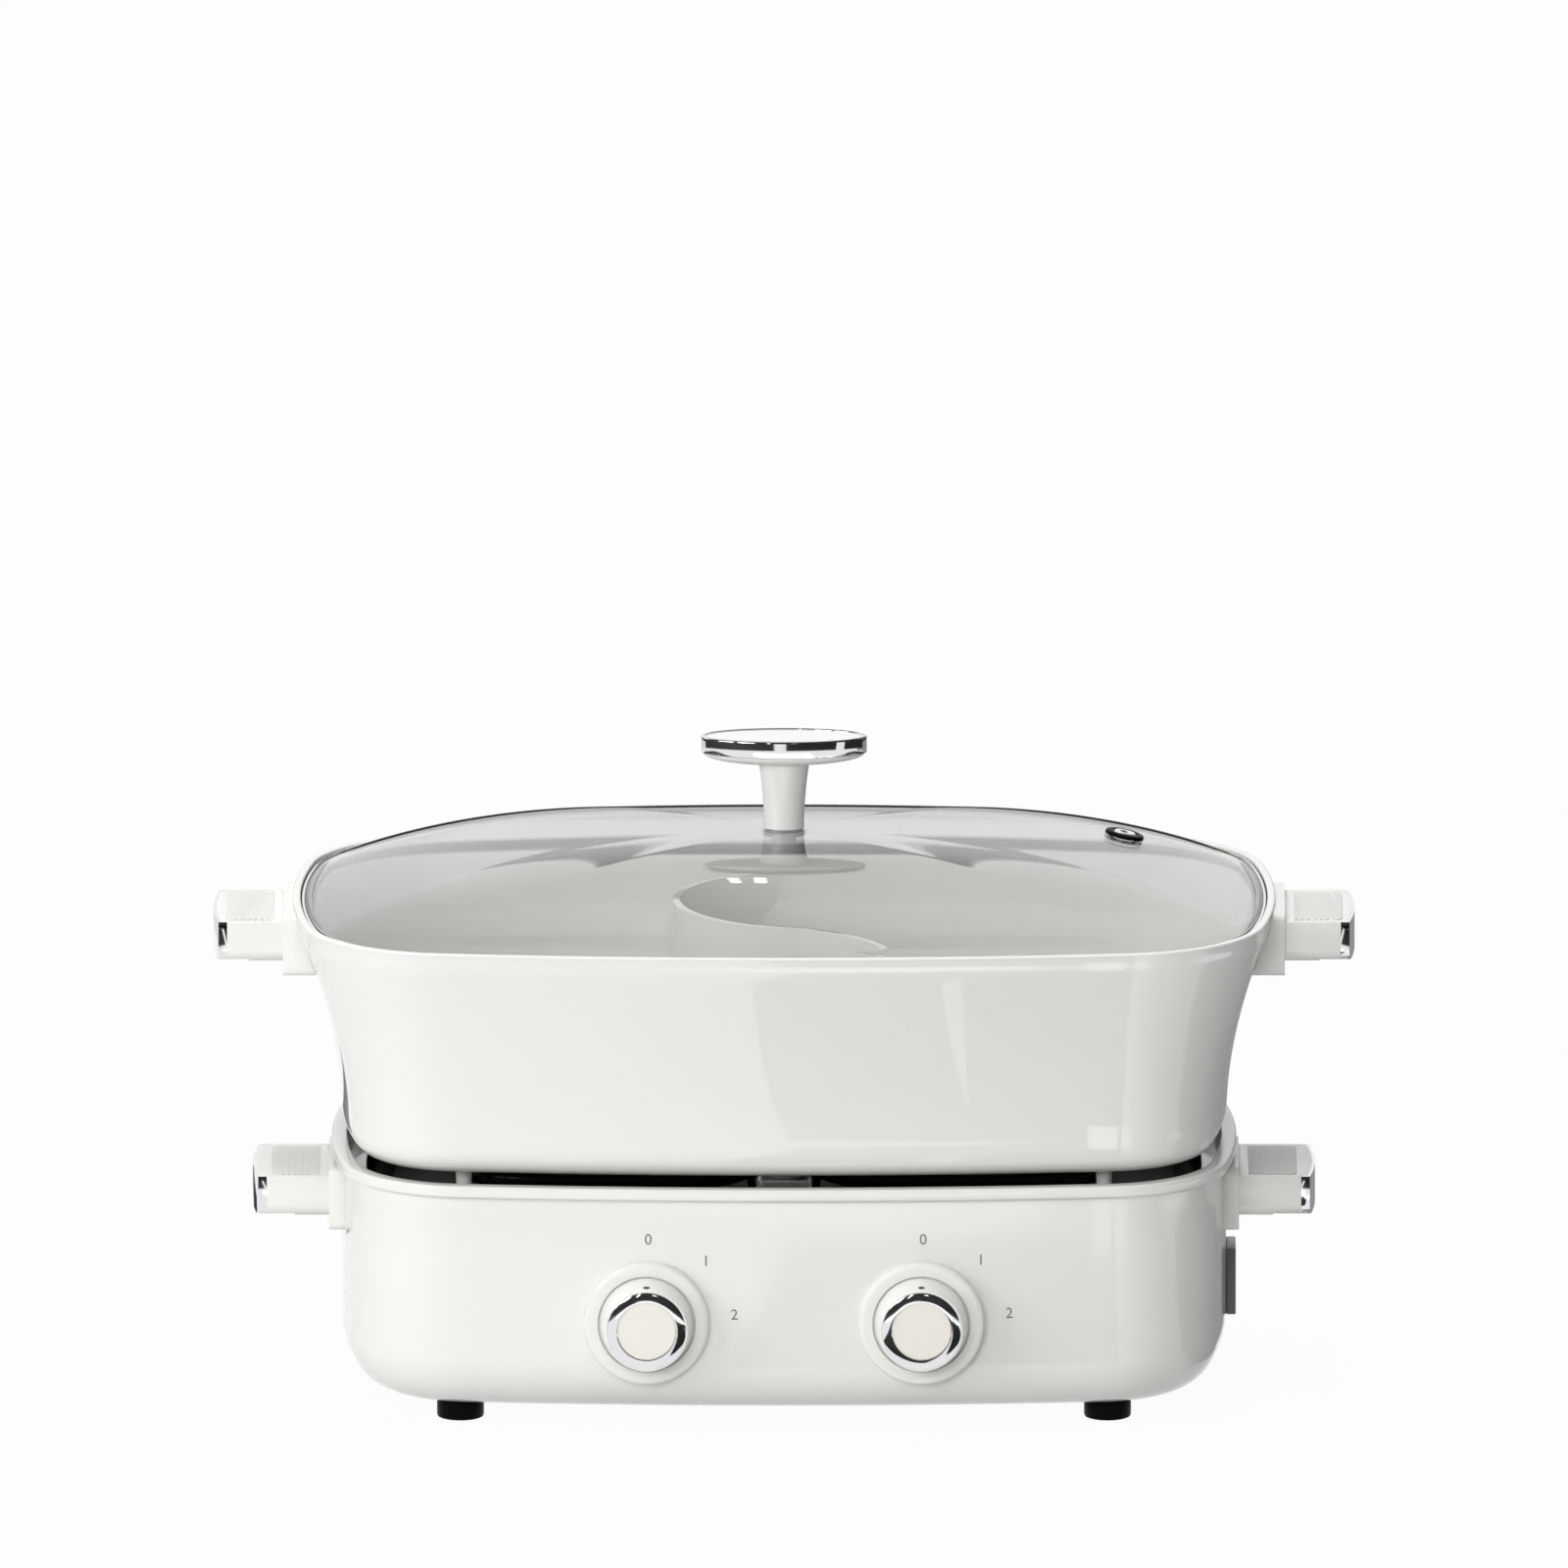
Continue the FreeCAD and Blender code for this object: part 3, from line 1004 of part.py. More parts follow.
def lid_knob():
    """Flared stem, oval dish, bright oval band and top insert."""
    stem_top = CROWN_TOP + STEM_HEIGHT
    dish_top = stem_top + DISH_HEIGHT
    band_top = dish_top + BAND_HEIGHT
    stem_wires = []
    for share in (0.0, 0.35, 0.7, 1.0):
        swell = share ** 2
        length = STEM_FOOT_LENGTH + (STEM_HEAD_LENGTH - STEM_FOOT_LENGTH) * swell
        width = STEM_FOOT_WIDTH + (STEM_HEAD_WIDTH - STEM_FOOT_WIDTH) * swell
        stem_wires.append(ellipse_wire(length, width, CROWN_TOP + STEM_HEIGHT * share))
    stem = Part.makeLoft(stem_wires, True, False)
    stem = stem.cut(upright(LID_SCREW_RADIUS + HOLE_GAP, 0, 0, CROWN_TOP - 1, CROWN_TOP + LID_SCREW_GRIP))
    dish = Part.makeLoft([ellipse_wire(TOP_LENGTH * 0.6, TOP_WIDTH * 0.75, stem_top),
                          ellipse_wire(TOP_LENGTH * 0.86, TOP_WIDTH * 0.9, stem_top + DISH_HEIGHT / 3),
                          ellipse_wire(TOP_LENGTH * 0.98, TOP_WIDTH * 0.98, dish_top)], True, False)
    band = Part.Face(ellipse_wire(TOP_LENGTH, TOP_WIDTH, dish_top)).extrude(UP * BAND_HEIGHT)
    band = band.makeChamfer(BAND_BEVEL, edges_at(band, band_top))
    inner = ellipse_wire(TOP_LENGTH - 2 * BAND_WALL, TOP_WIDTH - 2 * BAND_WALL, dish_top)
    bore = Part.Face(inner).extrude(UP * (BAND_HEIGHT + 1))
    insert = Part.Face(inner).extrude(UP * (BAND_HEIGHT - INSERT_RECESS))
    return stem, dish, band.cut(bore), insert


def lid_screw():
    """Screw and washer under the glass, into the stem."""
    glass_under = CROWN_TOP - GLASS_THICKNESS
    washer_under = glass_under - LID_WASHER
    washer = upright(LID_WASHER_RADIUS, 0, 0, washer_under, glass_under)
    washer = washer.cut(upright(LID_SCREW_RADIUS + HOLE_GAP, 0, 0, 0, BELOW * 2))
    head = upright(LID_SCREW_HEAD, 0, 0, washer_under - LID_SCREW_HEAD_HEIGHT, washer_under)
    shank = upright(LID_SCREW_RADIUS, 0, 0, washer_under, CROWN_TOP + LID_SCREW_GRIP)
    return washer, head.fuse(shank)


# ---- write the nodes -------------------------------------------------------------------------
save("base_shell", base_shell())
save("bottom_cover", bottom_cover())
save("rubber_feet", *rubber_feet())
save("heat_tray", heat_tray())
save("heater_terminals", *heater_terminals())
save("sensor_sleeve", sensor_sleeve())
save("sensor_cap", sensor_cap())
save("sensor_spring", sensor_spring())
save("pin_sockets", *pin_sockets())
save("base_screws", *base_screws())
inlet_housing, inlet_pins = inlet()
save("inlet_housing", inlet_housing)
save("inlet_pins", *inlet_pins)
save("pot_body", pot_body())
save("pot_divider", pot_divider())
save("locating_pins", *locating_pins())
save("pot_studs", *pot_studs())
save("lid_glass", lid_glass())
save("lid_seal", lid_seal())
save("lid_trim", lid_trim())
save("vent_eyelet", vent_eyelet())
stem, dish, top_band, top_insert = lid_knob()
save("lid_knob_stem", stem)
save("lid_knob_dish", dish)
save("lid_knob_band", top_band)
save("lid_knob_insert", top_insert)
save("lid_screw", *lid_screw())

tube = heater()
housing = thermostat_housing()
plate = contact_plate()
spreader = heat_spreader()
base_handle = handle(BASE_GRIP_X, BASE_GRIP_LENGTH, BASE_GRIP_TOP, prism(BODY, BODY_BOTTOM, RIM_Z))
pot_handle = handle(POT_GRIP_X, POT_GRIP_LENGTH, POT_RIM - POT_GRIP_BELOW_RIM, pot_outside)
for name, side in SIDES:
    save("heater_" + name, mirrored(tube, side))
    save("thermostat_housing_" + name, mirrored(housing, side))
    save("contact_plate_" + name, mirrored(plate, side))
    save("heat_spreader_" + name, mirrored(spreader, side))
    for piece, shape in base_handle.items():
        save("base_handle_" + piece + "_" + name, mirrored(shape, side))
    for piece, shape in pot_handle.items():
        save("pot_handle_" + piece + "_" + name, mirrored(shape, side))
    bezel, knob, ring, centre, switch = dial(side * DIAL_X)
    save("dial_bezel_" + name, bezel)
    save("dial_knob_" + name, knob)
    save("dial_ring_" + name, ring)
    save("dial_centre_" + name, centre)
    save("dial_switch_" + name, switch)
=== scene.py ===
import json
import math
import bmesh
import bpy
from mathutils import Matrix, Vector


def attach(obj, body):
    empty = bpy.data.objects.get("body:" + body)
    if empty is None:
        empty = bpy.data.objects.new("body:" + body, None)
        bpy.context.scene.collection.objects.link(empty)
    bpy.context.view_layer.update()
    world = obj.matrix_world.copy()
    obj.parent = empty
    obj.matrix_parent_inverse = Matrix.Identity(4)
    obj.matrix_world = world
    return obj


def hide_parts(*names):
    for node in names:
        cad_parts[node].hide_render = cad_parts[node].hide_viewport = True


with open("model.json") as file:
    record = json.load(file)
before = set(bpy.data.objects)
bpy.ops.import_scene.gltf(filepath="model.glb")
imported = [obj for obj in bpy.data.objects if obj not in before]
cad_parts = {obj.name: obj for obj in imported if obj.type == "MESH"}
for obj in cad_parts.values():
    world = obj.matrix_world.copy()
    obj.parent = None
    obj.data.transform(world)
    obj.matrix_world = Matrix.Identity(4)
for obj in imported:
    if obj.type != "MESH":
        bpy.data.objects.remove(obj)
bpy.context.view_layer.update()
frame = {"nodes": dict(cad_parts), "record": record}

MM = 0.001
SIDES = (("left", -1), ("right", 1))
scene = bpy.context.scene


# ---- sizes shared with the solid model ----
BASE_OUTLINE = (180.8, 103.0, 1300.0, 350.0, 50.0)   # half length, half width, bows, corner
BASE_BOTTOM = 8.6
RIM_Z = 104.0
SHELL_WALL = 2.4
BOTTOM_ROUND = 21.0
FLANGE_OVERHANG = 4.0
FLANGE_HEIGHT = 4.5
LEDGE_TOP = 91.0
LEDGE_UNDER = 88.6
LEDGE_WIDTH = 8.0
COVER_TOP = 11.0
COVER_INSET = 42.0
COVER_LIP = 7.0
LIP_TOP = 13.4
INLET_Z = 43.2
INLET_HALF_WIDTH = 9.65
INLET_HALF_HEIGHT = 11.95

POT_UNDER = 106.3
POT_HEIGHT = 97.0
POT_OUTLINE = (181.0, 101.0, 1250.0, 340.0, 46.0)    # as above, at the pot's bottom
POT_FLARE = 19.6
POT_FLARE_DEPTH = 0.81      # share of the flare that the long walls take
POT_FLARE_CORNER = 0.8
POT_LIP = 8.0
POT_LIP_FLARE = 1.2
POT_FLARE_START = 9.0
POT_FLARE_POWER = 1.8
POT_WALL = 2.8
POT_FLOOR = 3.0
POT_ROUND = 12.0
LID_SEAT_WALL = 2.0
LID_LEDGE = 6.6

GLASS_UNDER = 198.2
GLASS_EDGE_TOP = 202.8
GLASS_THICKNESS = 4.0
GLASS_DOME = 28.6
GLASS_POWER = 3.0
SEAL_UNDER = 195.6
SEAL_HEIGHT = 5.7
SEAL_LIP = 1.6
SEAL_WIDTH = 6.0

DIAL_X = 56.0
DIAL_Z = 48.0
WALL_FRONT = -103.0


# ---- mesh making ----
def linked(name, data):
    """Object for a mesh, a curve, a lamp or a camera, in the scene."""
    made = bpy.data.objects.new(name, data)
    scene.collection.objects.link(made)
    return made


def smooth(mesh, sharp):
    """Shade a mesh smooth except at edges sharper than the angle."""
    mesh.shade_smooth()
    mesh.set_sharp_from_angle(angle=math.radians(sharp))


def piece_from(name, points, faces, finish, sharp=30.0):
    """Mesh object from points in millimetres, smooth except at edges sharper than the angle."""
    mesh = bpy.data.meshes.new(name)
    mesh.from_pydata([tuple(c * MM for c in p) for p in points], [], faces)
    mesh.validate()
    close_up(mesh)
    mesh.materials.append(finishes[finish])
    smooth(mesh, sharp)
    return linked(name, mesh)


def close_up(mesh):
    """Merge doubles and turn the faces outwards."""
    work = bmesh.new()
    work.from_mesh(mesh)
    bmesh.ops.remove_doubles(work, verts=work.verts, dist=1e-6)
    bmesh.ops.recalc_face_normals(work, faces=work.faces)
    work.to_mesh(mesh)
    work.free()


def arc(centre, radius, start, end, steps):
    turns = [start + (end - start) * step / steps for step in range(steps + 1)]
    return [centre + Vector((math.cos(turn), math.sin(turn))) * radius for turn in turns]


def bowed_loop(outline, inset=0.0, side_steps=18, end_steps=12, corner_steps=20):
    """Points round a rounded rectangle with bowed sides, moved inwards by the inset."""
    half_x, half_y, long_bow, short_bow, corner = (size - inset for size in outline)
    long_centre = Vector((0, half_y - long_bow))
    short_centre = Vector((half_x - short_bow, 0))
    reach_long = long_bow - corner
    reach_short = short_bow - corner
    between = short_centre - long_centre
    span = between.length
    along = (reach_long ** 2 - reach_short ** 2 + span ** 2) / (2 * span)
    across = math.sqrt(reach_long ** 2 - along ** 2)
    direction = between / span
    corner_centre = long_centre + direction * along - Vector((-direction.y, direction.x)) * across
    low = math.atan2(*(corner_centre - short_centre).yx)
    high = math.atan2(*(corner_centre - long_centre).yx)
    quarter = arc(short_centre, short_bow, 0, low, end_steps)[:-1]
    quarter += arc(corner_centre, corner, low, high, corner_steps)[:-1]
    quarter += arc(long_centre, long_bow, high, math.pi / 2, side_steps)
    half = quarter + [Vector((-p.x, p.y)) for p in reversed(quarter[:-1])]
    return half + [Vector((p.x, -p.y)) for p in reversed(half[1:-1])]


def between_rings(rings, count, closed=False):
    """Faces between neighbouring rings of points; the last ring meets the first when closed."""
    faces = []
    for ring in range(rings if closed else rings - 1):
        here = ring * count
        above = (ring + 1) % rings * count
        faces.extend((here + i, here + (i + 1) % count, above + (i + 1) % count, above + i)
                     for i in range(count))
    return faces


def skin(name, loops, finish, sharp=30.0, closed=False):
    """Skin over level loops of equal count; the ends are capped, or joined when closed."""
    count = len(loops[0][0])
    points = [(p.x, p.y, height) for loop, height in loops for p in loop]
    faces = between_rings(len(loops), count, closed)
    if not closed:
        faces += [tuple(range(count)), tuple(range(len(points) - count, len(points)))]
    return piece_from(name, points, faces, finish, sharp)


def levels(outline, section):
    """Level loops of an outline, one for each (inset, height) pair of a section."""
    return [(bowed_loop(outline, inset), height) for inset, height in section]


def bend(centre_inset, centre_height, radius, start, end, steps=6):
    """Inset and height along a fillet in the wall's section; angles from straight up, outwards."""
    turns = [math.radians(start + (end - start) * step / steps) for step in range(steps + 1)]
    return [(centre_inset - radius * math.sin(turn), centre_height + radius * math.cos(turn))
            for turn in turns]


def turned(name, profile, origin, axis, finish, steps=96, sharp=30.0):
    """Turned piece: profile of (radius, distance along the axis) pairs from centre to centre."""
    along = Vector(axis).normalized()
    across = along.orthogonal().normalized()
    third = along.cross(across)
    points = []
    for radius, distance in profile:
        for step in range(steps):
            turn = math.tau * step / steps
            spoke = across * math.cos(turn) + third * math.sin(turn)
            points.append(Vector(origin) + along * distance + spoke * radius)
    return piece_from(name, points, between_rings(len(profile), steps), finish, sharp)


# ---- shared surface effects ----
def add_sockets(tree, side, *rows):
    """Named inputs or outputs of a node group, each with its kind and perhaps a value."""
    for label, kind, *default in rows:
        socket = tree.interface.new_socket(label, in_out=side, socket_type="NodeSocket" + kind)
        if default:
            socket.default_value = default[0]


def node(tree, kind, links=None, **settings):
    """Add a node, set its properties, and feed its inputs from sockets or plain values."""
    made = tree.nodes.new(kind)
    for key, value in settings.items():
        setattr(made, key, value)
    for key, source in (links or {}).items():
        if isinstance(source, bpy.types.NodeSocket):
            tree.links.new(source, made.inputs[key])
        else:
            made.inputs[key].default_value = source
    return made


def preset(shader, values):
    for label, value in values.items():
        shader.inputs[label].default_value = value


def maths(tree, operation, *values):
    """Result of a Math node on sockets or plain numbers."""
    return node(tree, "ShaderNodeMath", dict(enumerate(values)), operation=operation).outputs[0]


def blended(tree, share, first, second):
    """Colour between two colours."""
    return node(tree, "ShaderNodeMix", {0: share, 6: first, 7: second}, data_type="RGBA").outputs[2]


def surface_effect(name, second_colour, own_sizes, relief, pattern):
    """Shader group of two blended colours, uneven gloss and a fine relief, led by a pattern."""
    group = bpy.data.node_groups.new(name, "ShaderNodeTree")
    add_sockets(group, "INPUT", ("Colour", "Color", (0.8, 0.8, 0.8, 1)),
                (second_colour, "Color", (0.7, 0.7, 0.7, 1)), ("Roughness", "Float", 0.3),
                ("Roughness Swing", "Float", 0.05), *own_sizes, (relief, "Float", 0.00001))
    add_sockets(group, "OUTPUT", ("Colour", "Color"), ("Roughness", "Float"), ("Normal", "Vector"))
    sizes = group.nodes.new("NodeGroupInput").outputs
    result = group.nodes.new("NodeGroupOutput")
    mask, height = pattern(group, node(group, "ShaderNodeTexCoord").outputs["Object"], sizes)
    bump = node(group, "ShaderNodeBump", {"Height": height, "Strength": 1.0, "Distance": sizes[relief]})
    centred = maths(group, "SUBTRACT", mask, 0.5)
    gloss = maths(group, "MULTIPLY_ADD", centred, sizes["Roughness Swing"], sizes["Roughness"])
    colour = blended(group, mask, sizes["Colour"], sizes[second_colour])
    for label, made in (("Colour", colour), ("Roughness", gloss), ("Normal", bump.outputs["Normal"])):
        group.links.new(made, result.inputs[label])
    return group


def noise(tree, place, scale, detail):
    return node(tree, "ShaderNodeTexNoise",
                {"Vector": place, "Scale": scale, "Detail": detail}).outputs["Fac"]


def clouds_and_grain(group, place, sizes):
    """Clouds of a moulded, sprayed or coated surface, and its fine grain."""
    return noise(group, place, sizes["Cloud Scale"], 3.0), noise(group, place, sizes["Grain Scale"], 2.0)


def drawn_lines(group, place, sizes):
    """Fine parallel polishing lines, as mask and relief."""
    drawn = node(group, "ShaderNodeVectorMath", {0: place, 1: sizes["Line Spread"]}, operation="MULTIPLY")
    lines = noise(group, drawn.outputs[0], 1.0, 3.0)
    return lines, lines


moulded_skin = surface_effect("moulded_skin", "Clouded Colour",
                              [("Cloud Scale", "Float", 12.0), ("Grain Scale", "Float", 900.0)],
                              "Grain Height", clouds_and_grain)
drawn_metal = surface_effect("drawn_metal", "Line Colour",
                             [("Line Spread", "Vector", (40.0, 1500.0, 1500.0))],
                             "Line Depth", drawn_lines)


# ---- finishes ----
def surface(name, group, values, metallic=0.0, coat=0.0, coat_roughness=0.05, specular=0.5):
    """Finish whose colour, roughness and normal come from an effect group with its own values."""
    finish = bpy.data.materials.new(name)
    finish.use_nodes = True
    tree = finish.node_tree
    shader = tree.nodes["Principled BSDF"]
    skin_node = node(tree, "ShaderNodeGroup", values, node_tree=group)
    for label, socket in (("Colour", "Base Color"), ("Roughness", "Roughness"), ("Normal", "Normal")):
        tree.links.new(skin_node.outputs[label], shader.inputs[socket])
    preset(shader, {"Metallic": metallic, "Coat Weight": coat, "Coat Roughness": coat_roughness,
                    "Specular IOR Level": specular})
    finish.diffuse_color = values["Colour"]
    return finish


def coated(name, colour, clouded, roughness, swing=0.04, grain=900.0, height=0.004, cloud=12.0, **shading):
    """Finish with the moulded skin effect; grain height in millimetres."""
    return surface(name, moulded_skin,
                   {"Colour": (*colour, 1), "Clouded Colour": (*clouded, 1), "Cloud Scale": cloud,
                    "Roughness": roughness, "Roughness Swing": swing, "Grain Scale": grain,
                    "Grain Height": height * MM}, **shading)


def brushed(name, colour, line_colour, spread, roughness, swing=0.12, depth=0.004):
    """Bare metal with the drawn metal effect; line depth in millimetres."""
    return surface(name, drawn_metal,
                   {"Colour": (*colour, 1), "Line Colour": (*line_colour, 1), "Line Spread": spread,
                    "Roughness": roughness, "Roughness Swing": swing, "Line Depth": depth * MM},
                   metallic=1.0)


def clear_glass(name, tint, painted_edge_shade):
    """Polished glass with faint smears, with painted shade where it is seen aslant, that lets the lamps'
    light through.
    """
    finish = coated(name, tint, tuple(c * 0.98 for c in tint), 0.015, swing=0.02, grain=60.0,
                    height=0.001, cloud=9.0, specular=0.55)
    tree = finish.node_tree
    shader = tree.nodes["Principled BSDF"]
    preset(shader, {"Transmission Weight": 1.0, "IOR": 1.46})
    # Painted shade: the colour goes darker where the glass is seen aslant, standing in for the dark
    # reflections at its glancing edges.
    slant = node(tree, "ShaderNodeLayerWeight", {"Blend": 0.3}).outputs["Facing"]
    clear = shader.inputs["Base Color"].links[0].from_socket
    tree.links.new(blended(tree, slant, clear, (*painted_edge_shade, 1)), shader.inputs["Base Color"])
    lit_through = node(tree, "ShaderNodeBsdfTransparent", {"Color": (0.88, 0.89, 0.88, 1)})
    rays = node(tree, "ShaderNodeLightPath").outputs
    show(tree, rays["Is Shadow Ray"], shader.outputs["BSDF"], lit_through.outputs["BSDF"])
    return finish


def show(tree, share, first, second):
    """Send a mix of two shaders to the material's surface."""
    mixed = node(tree, "ShaderNodeMixShader", {0: share, 1: first, 2: second})
    tree.links.new(mixed.outputs[0], tree.nodes["Material Output"].inputs["Surface"])


WHITE = (0.83, 0.83, 0.8)
WHITE_DEEP = (0.81, 0.81, 0.775)
PLAIN_FINISHES = {
    "white_enamel": (WHITE, WHITE_DEEP, 0.1, dict(coat=0.4, height=0.0015, grain=260.0)),
    "pot_white": (WHITE, WHITE_DEEP, 0.035, dict(swing=0.02, coat=0.5, coat_roughness=0.02, height=0.0006,
                                                 grain=160.0)),
    "white_plastic": (WHITE, WHITE_DEEP, 0.16, dict(height=0.002, grain=700.0)),
    "knob_white": ((0.85, 0.85, 0.83), (0.83, 0.83, 0.8), 0.12, dict(height=0.0015, grain=500.0)),
    "cream_plastic": ((0.87, 0.84, 0.78), (0.85, 0.815, 0.75), 0.2, dict(height=0.003)),
    "pad_grey": ((0.76, 0.76, 0.735), (0.72, 0.72, 0.695), 0.55, dict(swing=0.1, height=0.02, grain=1600.0)),
    "switch_plastic": ((0.15, 0.155, 0.143), (0.125, 0.13, 0.12), 0.3, dict(height=0.01, grain=1200.0)),
    "cover_plastic": ((0.7, 0.7, 0.68), (0.66, 0.66, 0.64), 0.45, dict(swing=0.1, height=0.03, grain=1400.0)),
    "rubber_black": ((0.002, 0.002, 0.0022), (0.004, 0.004, 0.0042), 0.35,
                     dict(swing=0.12, height=0.012, grain=1500.0, specular=0.04)),
    "tray_black": ((0.003, 0.003, 0.0033), (0.005, 0.005, 0.0054), 0.3,
                   dict(swing=0.12, height=0.002, grain=500.0, specular=0.05)),
    "heater_black": ((0.003, 0.003, 0.0035), (0.005, 0.005, 0.005), 0.16,
                     dict(swing=0.08, height=0.003, grain=700.0, specular=0.2)),
    "black_plastic": ((0.02, 0.02, 0.02), (0.028, 0.028, 0.027), 0.35,
                      dict(swing=0.08, height=0.01, grain=1200.0)),
    "spreader_black": ((0.008, 0.008, 0.009), (0.014, 0.014, 0.015), 0.38,
                       dict(swing=0.15, height=0.01, specular=0.15)),
    "socket_white": ((0.78, 0.765, 0.71), (0.74, 0.72, 0.66), 0.4, dict(height=0.01, grain=800.0)),
    "print_grey": ((0.16, 0.16, 0.155), (0.18, 0.18, 0.175), 0.45, {}),
    "pointer_dark": ((0.03, 0.03, 0.03), (0.04, 0.04, 0.04), 0.4, {}),
}
METAL_FINISHES = {
    "plate_steel": ((0.5, 0.5, 0.51), (0.36, 0.36, 0.37), (1500.0, 40.0, 1500.0), 0.34, {}),
    "screw_steel": ((0.6, 0.6, 0.6), (0.5, 0.5, 0.5), (900.0, 900.0, 40.0), 0.3, {}),
    "chrome": ((0.82, 0.82, 0.84), (0.78, 0.78, 0.8), (300.0, 300.0, 300.0), 0.06,
               dict(swing=0.05, depth=0.0006)),
    "cap_steel": ((0.96, 0.96, 0.96), (0.92, 0.92, 0.92), (60.0, 900.0, 900.0), 0.12,
                  dict(swing=0.06, depth=0.002)),
}
# The lid glass's second colour is the painted shade at its glancing edges.
finishes = {"lid_glass": clear_glass("lid_glass", (0.9, 0.905, 0.9), (0.6, 0.61, 0.61))}
for maker, table in ((coated, PLAIN_FINISHES), (brushed, METAL_FINISHES)):
    for name, (*basics, extras) in table.items():
        finishes[name] = maker(name, *basics, **extras)

for part in frame["record"]["subparts"]:
    cad_node = frame["nodes"][part["node"]]
    cad_node.data.materials.clear()
    cad_node.data.materials.append(finishes[part["material_slot"]])


# ---- finishing a piece ----
def plain_mesh(part):
    return bpy.data.meshes.new_from_object(part.evaluated_get(bpy.context.evaluated_depsgraph_get()))


def baked(part):
    """Turn a part's live modifiers into its plain mesh."""
    mesh = plain_mesh(part)
    part.modifiers.clear()
    old = part.data
    part.data = mesh
    if isinstance(old, bpy.types.Mesh):
        bpy.data.meshes.remove(old)
    return part


def fit(part, body, *solids):
    """Fix a finished part to its body, in place of solids."""
    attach(part, body)
    if solids:
        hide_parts(*solids)
    return part


def cut_out(part, cutter):
    """Cut one mesh out of another and drop the cutter."""
    cut = part.modifiers.new("cut", "BOOLEAN")
    cut.operation = "DIFFERENCE"
    cut.solver = "EXACT"
    cut.object = cutter
    baked(part)
    bpy.data.objects.remove(cutter)
    part.data.set_sharp_from_angle(angle=math.radians(30))
    return part


def brick(name, low, high):
    """Plain cutting block between two corners."""
    corners = [(x, y, z) for x in (low[0], high[0]) for y in (low[1], high[1]) for z in (low[2], high[2])]
    faces = [(0, 1, 3, 2), (4, 6, 7, 5), (0, 4, 5, 1), (2, 3, 7, 6), (0, 2, 6, 4), (1, 5, 7, 3)]
    return piece_from(name, corners, faces, "switch_plastic")


def softened(cad_name, edge, body, steps=3, finish=None):
    """Copy of a solid with its sharp edges rounded off by the given width."""
    part = linked(cad_name + "_soft", frame["nodes"][cad_name].data.copy())
    work = bmesh.new()
    work.from_mesh(part.data)
    bmesh.ops.remove_doubles(work, verts=work.verts, dist=2e-6)
    bmesh.ops.dissolve_limit(work, angle_limit=math.radians(0.6), verts=work.verts, edges=work.edges)
    work.to_mesh(part.data)
    work.free()
    rounding = part.modifiers.new("edge rounding", "BEVEL")
    rounding.width = edge * MM
    rounding.segments = steps
    rounding.limit_method = "ANGLE"
    rounding.angle_limit = math.radians(32)
    rounding.miter_outer = "MITER_ARC"
    smooth(baked(part).data, 30)
    if finish:
        part.data.materials.clear()
        part.data.materials.append(finishes[finish])
    return fit(part, body, cad_name)


# ---- geometry trees for what repeats or follows a path ----
def geometry_tree(name, *sizes):
    """Geometry tree with named inputs; returns the tree, its inputs and its output node."""
    tree = bpy.data.node_groups.new(name, "GeometryNodeTree")
    add_sockets(tree, "INPUT", ("Geometry", "Geometry"), *sizes, ("Finish", "Material"))
    add_sockets(tree, "OUTPUT", ("Geometry", "Geometry"))
    return tree, tree.nodes.new("NodeGroupInput").outputs, tree.nodes.new("NodeGroupOutput")


def finished(tree, shape, finish, result):
    """End a geometry tree in real copies with their finish."""
    solid = node(tree, "GeometryNodeRealizeInstances", {"Geometry": shape})
    done = node(tree, "GeometryNodeSetMaterial", {"Geometry": solid.outputs[0], "Material": finish})
    tree.links.new(done.outputs[0], result.inputs[0])
    return tree


def stored(tree, name, kind):
    """Value stored at each point of the wire."""
    return node(tree, "GeometryNodeInputNamedAttribute", {"Name": name}, data_type=kind).outputs["Attribute"]


def bent_tube():
    """Round tube along each run of a wire, its corners bent to the radius stored at them."""
    tree, given, result = geometry_tree("bent_tube", ("Tube Radius", "Float", 0.004), ("Sides", "Int", 24),
                                        ("Bend Steps", "Int", 12))
    run = node(tree, "GeometryNodeMeshToCurve", {"Mesh": given["Geometry"]})
    bent = node(tree, "GeometryNodeFilletCurve",
                {"Curve": run.outputs[0], "Count": given["Bend Steps"],
                 "Radius": stored(tree, "bend", "FLOAT"), "Limit Radius": True}, mode="POLY")
    section = node(tree, "GeometryNodeCurvePrimitiveCircle",
                   {"Resolution": given["Sides"], "Radius": given["Tube Radius"]})
    tube = node(tree, "GeometryNodeCurveToMesh",
                {"Curve": bent.outputs[0], "Profile Curve": section.outputs["Curve"], "Fill Caps": True})
    return finished(tree, tube.outputs[0], given["Finish"], result)


